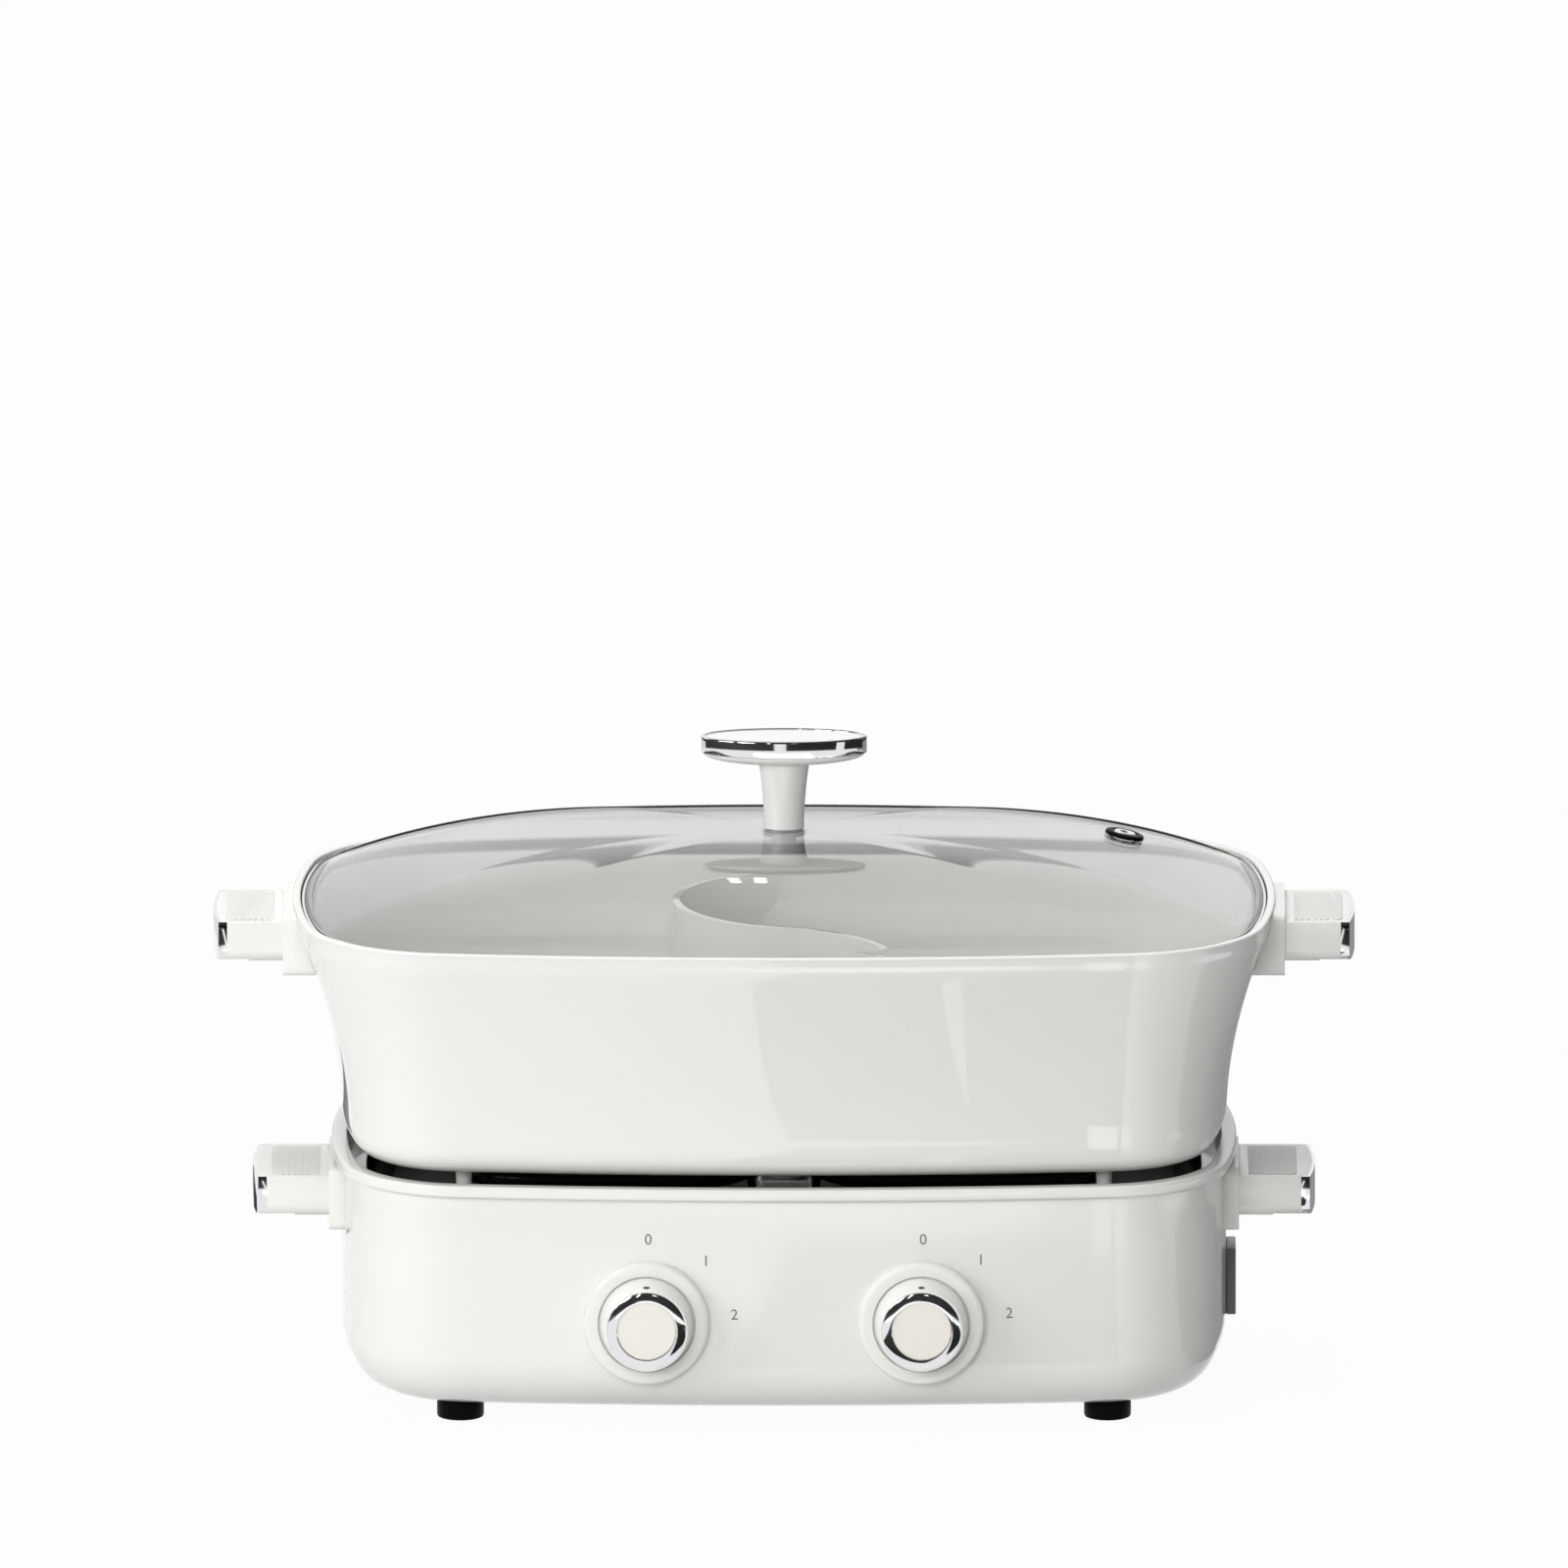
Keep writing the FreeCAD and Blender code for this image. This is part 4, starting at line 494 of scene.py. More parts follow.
def set_of_pieces():
    """One piece at each point of a wire, along the direction and at the size stored there."""
    tree, given, result = geometry_tree("set_of_pieces", ("Piece", "Object"), ("Most Turn", "Float", 0.0),
                                        ("Seed", "Int", 7))
    aimed = node(tree, "FunctionNodeAlignRotationToVector",
                 {"Vector": stored(tree, "facing", "FLOAT_VECTOR")}, axis="Z")
    chance = node(tree, "FunctionNodeRandomValue", {2: 0.0, 3: given["Most Turn"], "Seed": given["Seed"]},
                  data_type="FLOAT")
    turn = node(tree, "FunctionNodeAxisAngleToRotation", {"Angle": chance.outputs[1]})
    turned_too = node(tree, "FunctionNodeRotateRotation",
                      {"Rotation": aimed.outputs[0], "Rotate By": turn.outputs[0]}, rotation_space="LOCAL")
    piece = node(tree, "GeometryNodeObjectInfo", {"Object": given["Piece"]})
    placed = node(tree, "GeometryNodeInstanceOnPoints",
                  {"Points": given["Geometry"], "Instance": piece.outputs["Geometry"],
                   "Rotation": turned_too.outputs[0], "Scale": stored(tree, "size", "FLOAT")})
    return finished(tree, placed.outputs[0], given["Finish"], result)


tube_tree = bent_tube()
set_tree = set_of_pieces()


def grow(name, points, edges, stored_values, tree, sizes):
    """Run a geometry tree on a wire in millimetres with values stored at its points; keep the mesh."""
    mesh = bpy.data.meshes.new(name)
    mesh.from_pydata([tuple(c * MM for c in point) for point in points], edges, [])
    for label, kind, field, values in stored_values:
        mesh.attributes.new(label, kind, "POINT").data.foreach_set(field, values)
    part = linked(name, mesh)
    maker = part.modifiers.new(tree.name, "NODES")
    maker.node_group = tree
    for socket in tree.interface.items_tree:
        if socket.in_out == "INPUT" and socket.name in sizes:
            maker[socket.identifier] = sizes[socket.name]
    baked(part)
    close_up(part.data)
    smooth(part.data, 32)
    return part


def tubes(name, runs, radius, finish, sides=24):
    """Tubes along runs of (point, bend radius) pairs in millimetres."""
    points = []
    edges = []
    for run in runs:
        edges.extend((len(points) + i, len(points) + i + 1) for i in range(len(run) - 1))
        points.extend(run)
    return grow(name, [point for point, _ in points], edges,
                [("bend", "FLOAT", "value", [corner * MM for _, corner in points])], tube_tree,
                {"Tube Radius": radius * MM, "Sides": sides, "Bend Steps": 14, "Finish": finishes[finish]})


def copies(name, pattern, places, body, solid, most_turn=0.0):
    """Copies of a pattern piece at (point, direction, size) places in millimetres, fixed to a body."""
    part = grow(name, [point for point, _, _ in places], [],
                [("facing", "FLOAT_VECTOR", "vector", [c for _, direction, _ in places for c in direction]),
                 ("size", "FLOAT", "value", [size for _, _, size in places])], set_tree,
                {"Piece": pattern, "Most Turn": most_turn, "Seed": 7, "Finish": pattern.data.materials[0]})
    bpy.data.objects.remove(pattern)
    return fit(part, body, solid)


def four_corners(x, y, z, direction):
    return [((side * x, row * y, z), direction, 1.0) for side in (-1, 1) for row in (-1, 1)]


def screw_pattern(shank):
    """Pan head with a cross recess, its seat at the origin and its shank below."""
    head = pattern_piece([(0, -shank), (1.6, -shank), (2.0, -shank + 0.6), (2.0, 0), (3.8, 0), (3.8, 0.9),
                          (3.4, 1.6), (2.4, 2.1), (0, 2.2)], "screw_steel", 24)
    for width, length in ((0.85, 4.2), (4.2, 0.85)):
        cut_out(head, brick("recess", (-width / 2, -length / 2, 1.1), (width / 2, length / 2, 3)))
    return head


def pattern_piece(profile, finish, steps):
    """Upright turned piece at the origin, to be copied."""
    return turned("pattern", profile, (0, 0, 0), UP, finish, steps)


UP = (0, 0, 1)
DOWN = (0, 0, -1)


# ---- base ----
def base_housing():
    """Pressed housing with its rolled rim, tray ledge and rebated bottom."""
    flange_under = RIM_Z - FLANGE_HEIGHT
    inner_round = BOTTOM_ROUND - SHELL_WALL - COVER_TOP + BASE_BOTTOM
    lip = COVER_INSET + COVER_LIP
    section = [(lip, LIP_TOP), (lip, COVER_TOP), (COVER_INSET, COVER_TOP), (COVER_INSET, BASE_BOTTOM + 0.5),
               (COVER_INSET - 0.5, BASE_BOTTOM)]
    section += bend(BOTTOM_ROUND, BASE_BOTTOM + BOTTOM_ROUND, BOTTOM_ROUND, 180, 90, 16)
    section += [(0, BASE_BOTTOM + BOTTOM_ROUND + 1.5), (0, 60), (0, flange_under - 2.0)]
    section += bend(-0.8, flange_under - 0.8, 0.8, -90, 0, 5)
    section += bend(0.5 - FLANGE_OVERHANG, flange_under + 0.5, 0.5, 180, 90, 4)
    section += bend(1.3 - FLANGE_OVERHANG, RIM_Z - 1.3, 1.3, 90, 0, 7)
    section += bend(SHELL_WALL - 0.7, RIM_Z - 0.7, 0.7, 0, -90, 5)
    section += [(SHELL_WALL, RIM_Z - 1.5)]
    section += bend(SHELL_WALL + 2.0, LEDGE_TOP + 2.0, 2.0, 90, 180, 6)
    section += bend(SHELL_WALL + LEDGE_WIDTH - 0.6, LEDGE_TOP - 0.6, 0.6, 0, -90, 4)
    section += [(SHELL_WALL + LEDGE_WIDTH, LEDGE_UNDER), (SHELL_WALL, LEDGE_UNDER)]
    section += bend(SHELL_WALL + inner_round, LIP_TOP + inner_round, inner_round, 90, 180, 6)
    housing = skin("base_housing", levels(BASE_OUTLINE, section), "white_enamel", closed=True)
    cut_out(housing, brick("inlet_hole", (150, -INLET_HALF_WIDTH, INLET_Z - INLET_HALF_HEIGHT),
                           (190, INLET_HALF_WIDTH, INLET_Z + INLET_HALF_HEIGHT)))
    fit(housing, "base", "base_shell")


base_housing()


# ---- pot ----
def pot_outline(flare):
    half_length, half_width, long_bow, short_bow, corner = POT_OUTLINE
    return (half_length + flare, half_width + flare * POT_FLARE_DEPTH, long_bow, short_bow,
            corner + POT_FLARE_CORNER * flare)


def pot_flare(height):
    """How far the wall has flared at a height above the pot's underside."""
    ledge = POT_HEIGHT - POT_LIP
    ledge_flare = POT_FLARE - POT_LIP_FLARE
    if height >= ledge:
        return ledge_flare + POT_LIP_FLARE * (height - ledge) / POT_LIP
    if height <= POT_FLARE_START:
        return 0.0
    return ledge_flare * ((height - POT_FLARE_START) / (ledge - POT_FLARE_START)) ** POT_FLARE_POWER


def pot_vessel():
    """Coated cast pot: rounded bottom, flared wall, upright lip and the ledge for the lid."""
    ledge = POT_HEIGHT - POT_LIP
    ledge_flare = pot_flare(ledge)
    ledge_inset = LID_SEAT_WALL + LID_LEDGE
    upper = POT_HEIGHT * 0.7
    inner_round = POT_ROUND - POT_WALL
    low = POT_FLOOR + inner_round
    rows = []

    def fillet(flare, lift, *sizes):
        rows.extend((flare, inset, lift + height) for inset, height in bend(*sizes))

    def wall(inset, heights):
        rows.extend((pot_flare(height), inset, height) for height in heights)

    fillet(0.0, 0.0, POT_ROUND, POT_ROUND, POT_ROUND, 180, 90, 10)
    wall(0.0, [POT_ROUND + (ledge - POT_ROUND) * step / 24 for step in range(1, 25)])
    wall(0.0, (ledge + 3, POT_HEIGHT - 0.9))
    fillet(POT_FLARE, POT_HEIGHT, 0.8, -0.8, 0.8, 80, 0, 5)
    fillet(ledge_flare, POT_HEIGHT, LID_SEAT_WALL - 0.7, -0.7, 0.7, 0, -90, 5)
    fillet(ledge_flare, ledge, LID_SEAT_WALL + 0.8, 0.8, 0.8, 90, 180, 4)
    fillet(ledge_flare, ledge, ledge_inset - 0.9, -0.9, 0.9, 0, -80, 5)
    for step in range(1, 11):
        height = ledge - 1.6 - (ledge - 1.6 - upper) * step / 10
        share = (height - upper) / (ledge - upper)
        wall(POT_WALL + (ledge_inset - POT_WALL) * share ** 1.35, [height])
    wall(POT_WALL, [upper - (upper - low) * step / 14 for step in range(1, 14)])
    fillet(0.0, 0.0, POT_ROUND, low, inner_round, 90, 180, 8)
    loops = [(bowed_loop(pot_outline(flare), inset), POT_UNDER + height) for flare, inset, height in rows]
    fit(skin("pot_vessel", loops, "pot_white"), "pot", "pot_body")


pot_vessel()


# ---- lid ----
LID_SEAT = pot_outline(pot_flare(POT_HEIGHT - POT_LIP))
LID_OUTLINE = tuple(size - LID_SEAT_WALL - 0.3 for size in LID_SEAT)
GLASS_OUTLINE = tuple(size - SEAL_LIP for size in LID_OUTLINE)


def dome_rows(outline, drop, shares):
    rows = []
    for share in shares:
        height = GLASS_EDGE_TOP + GLASS_DOME * (1 - share ** GLASS_POWER) - drop
        rows.append((bowed_loop(tuple(size * share for size in outline)), height))
    return rows


def glass_dome():
    """Domed glass with an upright edge and a ground rim."""
    shares = [1 - 0.96 * (step / 36) ** 1.15 for step in range(1, 37)]
    inner = tuple(size - GLASS_THICKNESS for size in GLASS_OUTLINE)
    loops = list(reversed(dome_rows(inner, GLASS_THICKNESS, shares)))
    loops += [(bowed_loop(inner), GLASS_EDGE_TOP - GLASS_THICKNESS - 0.2),
              (bowed_loop(inner, -0.4), GLASS_UNDER),
              (bowed_loop(GLASS_OUTLINE, 0.5), GLASS_UNDER),
              (bowed_loop(GLASS_OUTLINE), GLASS_UNDER + 0.5)]
    edge = bend(1.0, GLASS_EDGE_TOP - 1.0, 1.0, 90, 30, 4)
    loops += [(bowed_loop(GLASS_OUTLINE, inset), height) for inset, height in edge]
    loops += dome_rows(GLASS_OUTLINE, 0.0, [s for s in shares if s < 0.99])
    return fit(skin("glass_dome", loops, "lid_glass", sharp=50.0), "lid", "lid_glass")


def lid_rim():
    """Black silicone rim with rounded lips, thinning under the glass."""
    top = SEAL_UNDER + SEAL_HEIGHT
    section = [(SEAL_WIDTH, GLASS_UNDER - 0.7), (SEAL_WIDTH / 2, SEAL_UNDER)]
    section += bend(0.9, SEAL_UNDER + 0.9, 0.9, 180, 90, 5)
    section += bend(0.4, top - 0.4, 0.4, 90, 0, 4)
    section += [(SEAL_LIP, top), (SEAL_LIP, GLASS_UNDER), (SEAL_WIDTH, GLASS_UNDER)]
    fit(skin("lid_rim", levels(LID_OUTLINE, section), "rubber_black", closed=True), "lid", "lid_seal")


glass = glass_dome()
lid_rim()


def oval_loop(length, width, steps=128):
    return [Vector((length / 2 * math.cos(math.tau * i / steps), width / 2 * math.sin(math.tau * i / steps)))
            for i in range(steps)]


CROWN_TOP = 231.38


def lid_knob(length=67.6, width=27.0, stem_height=27.7, dish_height=3.7, band_height=7.2):
    """Waisted stem, shallow oval dish, polished oval band and the white top."""
    stem_top = CROWN_TOP + stem_height
    dish_top = stem_top + dish_height
    band_top = dish_top + band_height
    top = band_top - 0.4

    def from_edge(section):
        return [(oval_loop(length - 2 * inset, width - 2 * inset), height) for inset, height in section]

    stem = []
    for step in range(25):
        swell = (step / 24) ** 2
        stem.append((oval_loop(16.4 + 4.6 * swell, 13.0 + 3.0 * swell),
                     CROWN_TOP + stem_height * (step / 24)))
    dish = []
    for step in range(13):
        slope = step / 12 * math.pi / 2
        spread = math.sin(slope)
        dish.append((oval_loop(length * (0.5 + 0.48 * spread), width * (0.62 + 0.36 * spread)),
                     stem_top + dish_height * (1 - math.cos(slope))))
    band = bend(0.3, dish_top + 0.3, 0.3, 180, 90, 3) + bend(1.0, band_top - 1.0, 1.0, 90, 10, 6)
    band += [(1.5, band_top - 0.1), (1.6, band_top - 0.6), (1.6, dish_top)]
    insert = [(1.6, dish_top), (1.6, top - 0.5)] + bend(2.1, top - 0.5, 0.5, 90, 5, 4)
    insert += [(4.0, top + 0.02), (8.0, top + 0.1), (12.0, top + 0.14)]
    for name, loops, finish, solid in (("knob_stem", stem, "knob_white", "lid_knob_stem"),
                                       ("knob_dish", dish, "knob_white", "lid_knob_dish"),
                                       ("knob_band", from_edge(band), "chrome", "lid_knob_band"),
                                       ("knob_top", from_edge(insert), "knob_white", "lid_knob_insert")):
        fit(skin(name, loops, finish, closed=finish == "chrome"), "lid", solid)


lid_knob()


# ---- dials ----
KNOB_REACH = 16.0


def sag(x):
    """How far the long walls fall back from their middle at a distance from it."""
    return BASE_OUTLINE[2] - math.sqrt(BASE_OUTLINE[2] ** 2 - x ** 2)


def dial(name, side, bezel_edge=25.5, foot=19.3, edge=17.0, outer=16.0, inner=12.0):
    """Fixed bezel and turning knob with its bright ring and centre cap; radii of its steps."""
    recess = foot + 0.6
    back = 2.7
    face = KNOB_REACH
    seat = face - 1.6
    bezel = [(0, -2.8), (bezel_edge, -2.8)]
    bezel += [(bezel_edge - 1.8 + 1.8 * math.cos(a), 2.2 + 1.8 * math.sin(a))
              for a in (math.radians(t) for t in range(0, 91, 15))]
    bezel += [(recess + 0.5, 4.0), (recess + 0.12, 3.88), (recess, 3.5), (recess, 2.4), (0, 2.4)]
    knob = [(0, back), (foot - 0.3, back), (foot, back + 0.3), (edge + 0.12, face - 0.8),
            (edge - 0.08, face - 0.25), (edge - 0.4, face), (outer + (edge - outer) * 0.15, face),
            (outer, face - 0.15), (outer, seat), (0, seat)]
    ring = [(inner, seat), (outer, seat), (outer, face + 0.1), (outer - 0.2, face + 0.2),
            (outer - 1.4, face + 0.47), (inner + 1.2, face + 0.76), (inner + 0.3, face + 0.8),
            (inner, face + 0.5), (inner, seat)]
    centre = [(0, seat), (inner, seat), (inner, face + 0.1), (inner - 0.3, face + 0.35), (8.0, face + 0.42),
              (0, face + 0.44)]
    for piece, profile, finish, sharp in (
            ("bezel", bezel, "white_plastic", 30), ("knob", knob, "knob_white", 30),
            ("ring", ring, "chrome", 40), ("centre", centre, "cream_plastic", 30)):
        part = turned(piece + "_" + name, profile, (side * DIAL_X, WALL_FRONT, DIAL_Z), (0, -1, 0),
                      finish, sharp=sharp)
        fit(part, "base" if piece == "bezel" else "dial_" + name, "dial_" + piece + "_" + name)


for name, side in SIDES:
    dial(name, side)


def numeral(name, text, x, z, height):
    """Printed numeral on the front wall."""
    curve = bpy.data.curves.new(name, "FONT")
    curve.body = text
    curve.size = height / 0.7 * MM
    curve.align_x = "CENTER"
    curve.align_y = "CENTER"
    curve.extrude = 0.02 * MM
    writing = linked(name, curve)
    mesh = plain_mesh(writing)
    bpy.data.objects.remove(writing)
    lean = Matrix.Rotation(math.asin(x / BASE_OUTLINE[2]), 4, "Z") @ Matrix.Rotation(math.radians(90), 4, "X")
    mesh.transform(Matrix.Translation(Vector((x, WALL_FRONT + sag(x) - 0.03, z)) * MM) @ lean)
    mesh.materials.clear()
    mesh.materials.append(finishes["print_grey"])
    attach(linked(name, mesh), "base")


for name, side in SIDES:
    for text, across, up in (("0", 0.7, 34.2), ("1", 24.2, 25.4), ("2", 35.8, 2.9)):
        numeral("numeral_" + text + "_" + name, text, side * DIAL_X + across, DIAL_Z + up, 4.4)


# ---- tray, tube heaters and their contact plates ----
TRAY_FLOOR = 80.5
SENSOR_Y = -63.0


def tray_dish(sheet=1.6, low=79.0, corner=5.0):
    """Pressed black dish: flange under the ledge, drawn wall, low channel and raised floor."""
    edge = SHELL_WALL + LEDGE_WIDTH
    raised = edge + 9.0
    under = TRAY_FLOOR - sheet
    flange_under = LEDGE_UNDER - sheet
    section = [(raised + 12.0, under), (raised + sheet, under), (raised + sheet, low - sheet)]
    section += bend(edge + corner, low + corner, corner + sheet, 180, 90, 8)
    section += [(edge - sheet, flange_under), (edge - 5.0, flange_under), (edge - 5.0, LEDGE_UNDER),
                (edge - 0.6, LEDGE_UNDER)]
    section += bend(edge - 0.6, LEDGE_UNDER - 0.6, 0.6, -20, -90, 3)
    section += bend(edge + corner, low + corner, corner, 90, 180, 10)
    section += [(raised - 0.9, low), (raised - 0.35, low + 0.1), (raised - 0.05, low + 0.45)]
    section += bend(raised + 0.9, TRAY_FLOOR - 0.9, 0.9, 75, 0, 4)
    section += [(raised + 12.0, TRAY_FLOOR)]
    dish = skin("tray_dish", levels(BASE_OUTLINE, section), "tray_black")
    cut_out(dish, turned("stem_hole", [(0, 70), (4.3, 70), (4.3, 90), (0, 90)], (0, SENSOR_Y, 0), UP,
                         "tray_black", steps=32))
    fit(dish, "base", "heat_tray")


tray_dish()

HEATER_Z = 99.0
TERMINAL_Z = 91.0
HEATER_RUN_Y = 17.0
HEATER_OUTER_Y = 64.0
HEATER_INNER_X = 15.2
HEATER_OUTER_X = 130.8
HEATER_CORNER = 26.0
HEATER_LOOP = (HEATER_OUTER_Y - HEATER_RUN_Y) / 2 - 0.01
STEP_RADIUS = 6.49
STEP_LOW_X = 49.27
STEP_HIGH_X = 45.93
TUBE_END_X = 77.0


def heater_run(side):
    """Wire of one tube from terminal to terminal, with the bend radius at each corner."""
    half = [((TUBE_END_X, HEATER_RUN_Y, TERMINAL_Z), 0),
            ((STEP_LOW_X, HEATER_RUN_Y, TERMINAL_Z), STEP_RADIUS),
            ((STEP_HIGH_X, HEATER_RUN_Y, HEATER_Z), STEP_RADIUS),
            ((HEATER_INNER_X, HEATER_RUN_Y, HEATER_Z), HEATER_LOOP),
            ((HEATER_INNER_X, HEATER_OUTER_Y, HEATER_Z), HEATER_LOOP),
            ((HEATER_OUTER_X, HEATER_OUTER_Y, HEATER_Z), HEATER_CORNER)]
    back = [((x, -y, z), radius) for (x, y, z), radius in reversed(half)]
    return [((side * x, y, z), radius) for (x, y, z), radius in half + back]


for name, side in SIDES:
    fit(tubes("heater_tube_" + name, [heater_run(side)], 4.0, "heater_black"), "base", "heater_" + name)
    softened("thermostat_housing_" + name, 0.6, "base")
    softened("contact_plate_" + name, 0.2, "base")


# ---- centre sensor ----
CAP_UNDER = 101.0
CAP_STEM_UNDER = 72.6
SLEEVE_TOP = 103.2
EAR_X = 18.4


def centre_sensor():
    """Bright cup with screwed ears, and the flat cap that the pot presses down."""
    height = SLEEVE_TOP - TRAY_FLOOR
    cup = [(4.3, 0), (14.4, 0), (15.0, 0.6), (15.0, height - 0.5), (14.85, height - 0.12), (14.5, height),
           (14.0, height - 0.05), (13.6, height - 0.5), (13.6, 2.6), (13.0, 2.0), (4.3, 2.0), (4.3, 0)]
    fit(turned("sensor_cup", cup, (0, SENSOR_Y, TRAY_FLOOR), UP, "chrome"), "base", "sensor_sleeve")
    ear = pattern_piece([(0, 0), (4.2, 0), (4.2, 1.6), (3.9, 2.0), (0, 2.0)], "chrome", 32)
    copies("sensor_ears", ear, [((x, SENSOR_Y, TRAY_FLOOR), UP, 1.0) for x in (-EAR_X, EAR_X)], "base",
           "sensor_sleeve")
    top = 5.0
    stem = CAP_UNDER - CAP_STEM_UNDER
    cap = [(0, -stem), (3.4, -stem), (4.0, 0.6 - stem), (4.0, 0), (11.6, 0), (12.1, 0.3), (12.2, 0.8),
           (12.2, top - 1.5), (12.0, top - 1.1), (11.1, top - 0.15), (10.6, top), (0, top)]
    button = turned("sensor_button", cap, (0, SENSOR_Y, CAP_UNDER), UP, "cap_steel")
    fit(button, "sensor_button", "sensor_cap")


centre_sensor()


# ---- locating pins, sockets, feet and fixings ----
PIN_X = 130.5
PIN_Y = 70.0
FOOT_X = 132.0
FOOT_Y = 66.0
SOCKET_TOP = 93.0
HANDLE_Z = 83.3
HANDLE_SEAT = 177.94
HANDLE_SCREW_END = 194.8
HANDLE_SCREW_Y = 14


def sockets_and_pins():
    """Black posts with pale bushes on the tray, and the tapered pins under the pot."""
    height = SOCKET_TOP - TRAY_FLOOR
    post = pattern_piece([(3.8, -4.5), (6.6, -4.5), (6.6, 0), (10.5, 0), (10.5, height - 1.9),
                          (10.2, height - 1.2), (8.6, height - 1.2), (3.8, height - 1.2), (3.8, -4.5)],
                         "tray_black", 48)
    copies("socket_posts", post, four_corners(PIN_X, PIN_Y, TRAY_FLOOR, UP), "base", "pin_sockets")
    bush = pattern_piece([(3.8, -1.2), (10.2, -1.2), (10.2, -0.5), (9.3, 0), (5.0, 0), (4.1, -0.5),
                          (3.8, -1.2)], "socket_white", 48)
    copies("socket_bushes", bush, four_corners(PIN_X, PIN_Y, SOCKET_TOP, UP), "base", "pin_sockets")
    pin = pattern_piece([(0, 0), (5.5, 0), (5.5, 0.8), (5.1, 1.2), (4.2, 1.3), (3.6, 1.9), (3.45, 2.8),
                         (2.6, 20.2), (2.3, 20.8), (1.7, 21.0), (0, 21.0)], "pot_white", 40)
    copies("tapered_pins", pin, four_corners(PIN_X, PIN_Y, POT_UNDER, DOWN), "pot", "locating_pins")


def feet():
    """Rubber feet with a hollow sole."""
    foot = pattern_piece([(0, 1.4), (5.6, 1.4), (6.2, 0.9), (6.5, 0.2), (6.9, 0), (8.6, 0), (9.3, 0.3),
                          (9.6, 1.0), (9.6, 7.9), (9.4, 8.4), (8.9, 8.6), (3.2, 8.6), (3.2, 13.6),
                          (2.8, 14.4), (0, 14.4)], "rubber_black", 56)
    copies("feet", foot, four_corners(FOOT_X, FOOT_Y, 0, UP), "base", "rubber_feet")


def fixings():
    """Cross-recess screws of the cover, the sensor and the handles."""
    inset = COVER_INSET + COVER_LIP / 2
    end_x = BASE_OUTLINE[0] - inset
    side_y = BASE_OUTLINE[1] - inset - sag(DIAL_X)
    places = [((x, 0, BASE_BOTTOM), DOWN, 1.0) for x in (-end_x, end_x)]
    places += [((x, y, BASE_BOTTOM), DOWN, 1.0) for x in (-DIAL_X, DIAL_X) for y in (-side_y, side_y)]
    places += [((x, SENSOR_Y, TRAY_FLOOR + 2.0), UP, 0.75) for x in (-EAR_X, EAR_X)]
    runs = []
    for side in (-1, 1):
        for y in (-HANDLE_SCREW_Y, HANDLE_SCREW_Y):
            places.append(((side * HANDLE_SEAT, y, HANDLE_Z), (-side, 0, 0), 1.0))
            runs.append([((side * x, y, HANDLE_Z), 0) for x in (HANDLE_SEAT, HANDLE_SCREW_END)])
    copies("screws", screw_pattern(6.5), places, "base", "base_screws", most_turn=math.tau)
    fit(tubes("handle_screw_shanks", runs, 2.0, "screw_steel", sides=16), "base", "base_screws")


sockets_and_pins()
feet()
fixings()
softened("bottom_cover", 0.3, "base")
softened("inlet_housing", 0.6, "base", finish="switch_plastic")
softened("inlet_pins", 0.25, "base")


# ---- divider, lid trim and vent ----
softened("pot_divider", 1.1, "pot", steps=5)

VENT_X = 139.0
VENT_Y = 29.0


def steam_vent():
    """Black flange on the glass and a bright tube with its nut, square to the dome."""
    _, place, lean, _ = glass.ray_cast(Vector((VENT_X, VENT_Y, 300)) * MM, Vector(DOWN))
    flange = [(4.7, 0.25), (8.0, 0.25), (8.0, 1.1), (7.6, 1.6), (6.8, 1.85), (5.6, 1.85), (4.9, 1.6),
              (4.7, 0.25)]
    tube = [(1.8, 1.5), (2.3, 2.0), (4.1, 2.0), (4.6, 1.5), (4.6, -4.4), (6.2, -4.4), (6.6, -4.8),
            (6.6, -5.8), (6.2, -6.2), (1.8, -6.2), (1.8, 1.5)]
    for name, profile, finish in (("vent_flange", flange, "rubber_black"), ("vent_tube", tube, "chrome")):
        fit(turned(name, profile, place / MM, lean, finish, steps=64), "lid", "vent_eyelet")


steam_vent()


def lid_trim():
    """Thin steel hoop between the seal and the glass."""
    bottom = SEAL_UNDER + SEAL_HEIGHT
    top = bottom + 0.7
    section = [(0.25, bottom), (0.25, top - 0.2)] + bend(0.45, top - 0.2, 0.2, 60, 0, 2)
    section += [(1.3, top), (1.45, top - 0.2), (1.45, bottom)]
    fit(skin("rim_hoop", levels(LID_OUTLINE, section), "chrome", closed=True), "lid", "lid_trim")


lid_trim()


def pointer(name, side):
    """Small dark mark on the knob's tapered side, near its front edge."""
    mark = turned("pointer_" + name, [(0, -0.3), (1.35, -0.3), (1.35, 0.05), (1.2, 0.12), (0, 0.14)],
                  (side * DIAL_X, WALL_FRONT - KNOB_REACH + 3.0, DIAL_Z + 17.5), (0, -0.176, 0.984),
                  "pointer_dark", steps=24)
    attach(mark, "dial_" + name)


for name, side in SIDES:
    pointer(name, side)


# ---- handles ----
for carrier in ("base", "pot"):
    for name, side in SIDES:
        stem = carrier + "_handle_"
        for piece, edge in (("grip_", 0.7), ("bracket_", 0.8), ("band_", 0.3), ("pad_", 0.25)):
            softened(stem + piece + name, edge, carrier)


# ---- floor, light and camera ----
ROOM_LIGHT = 0.3
FLOOR_GLOW = 0.96


def stage_finish(name):
    """New finish of a stage piece; returns its tree and its shader."""
    finishes[name] = bpy.data.materials.new(name)
    finishes[name].use_nodes = True
    return finishes[name].node_tree, finishes[name].node_tree.nodes["Principled BSDF"]


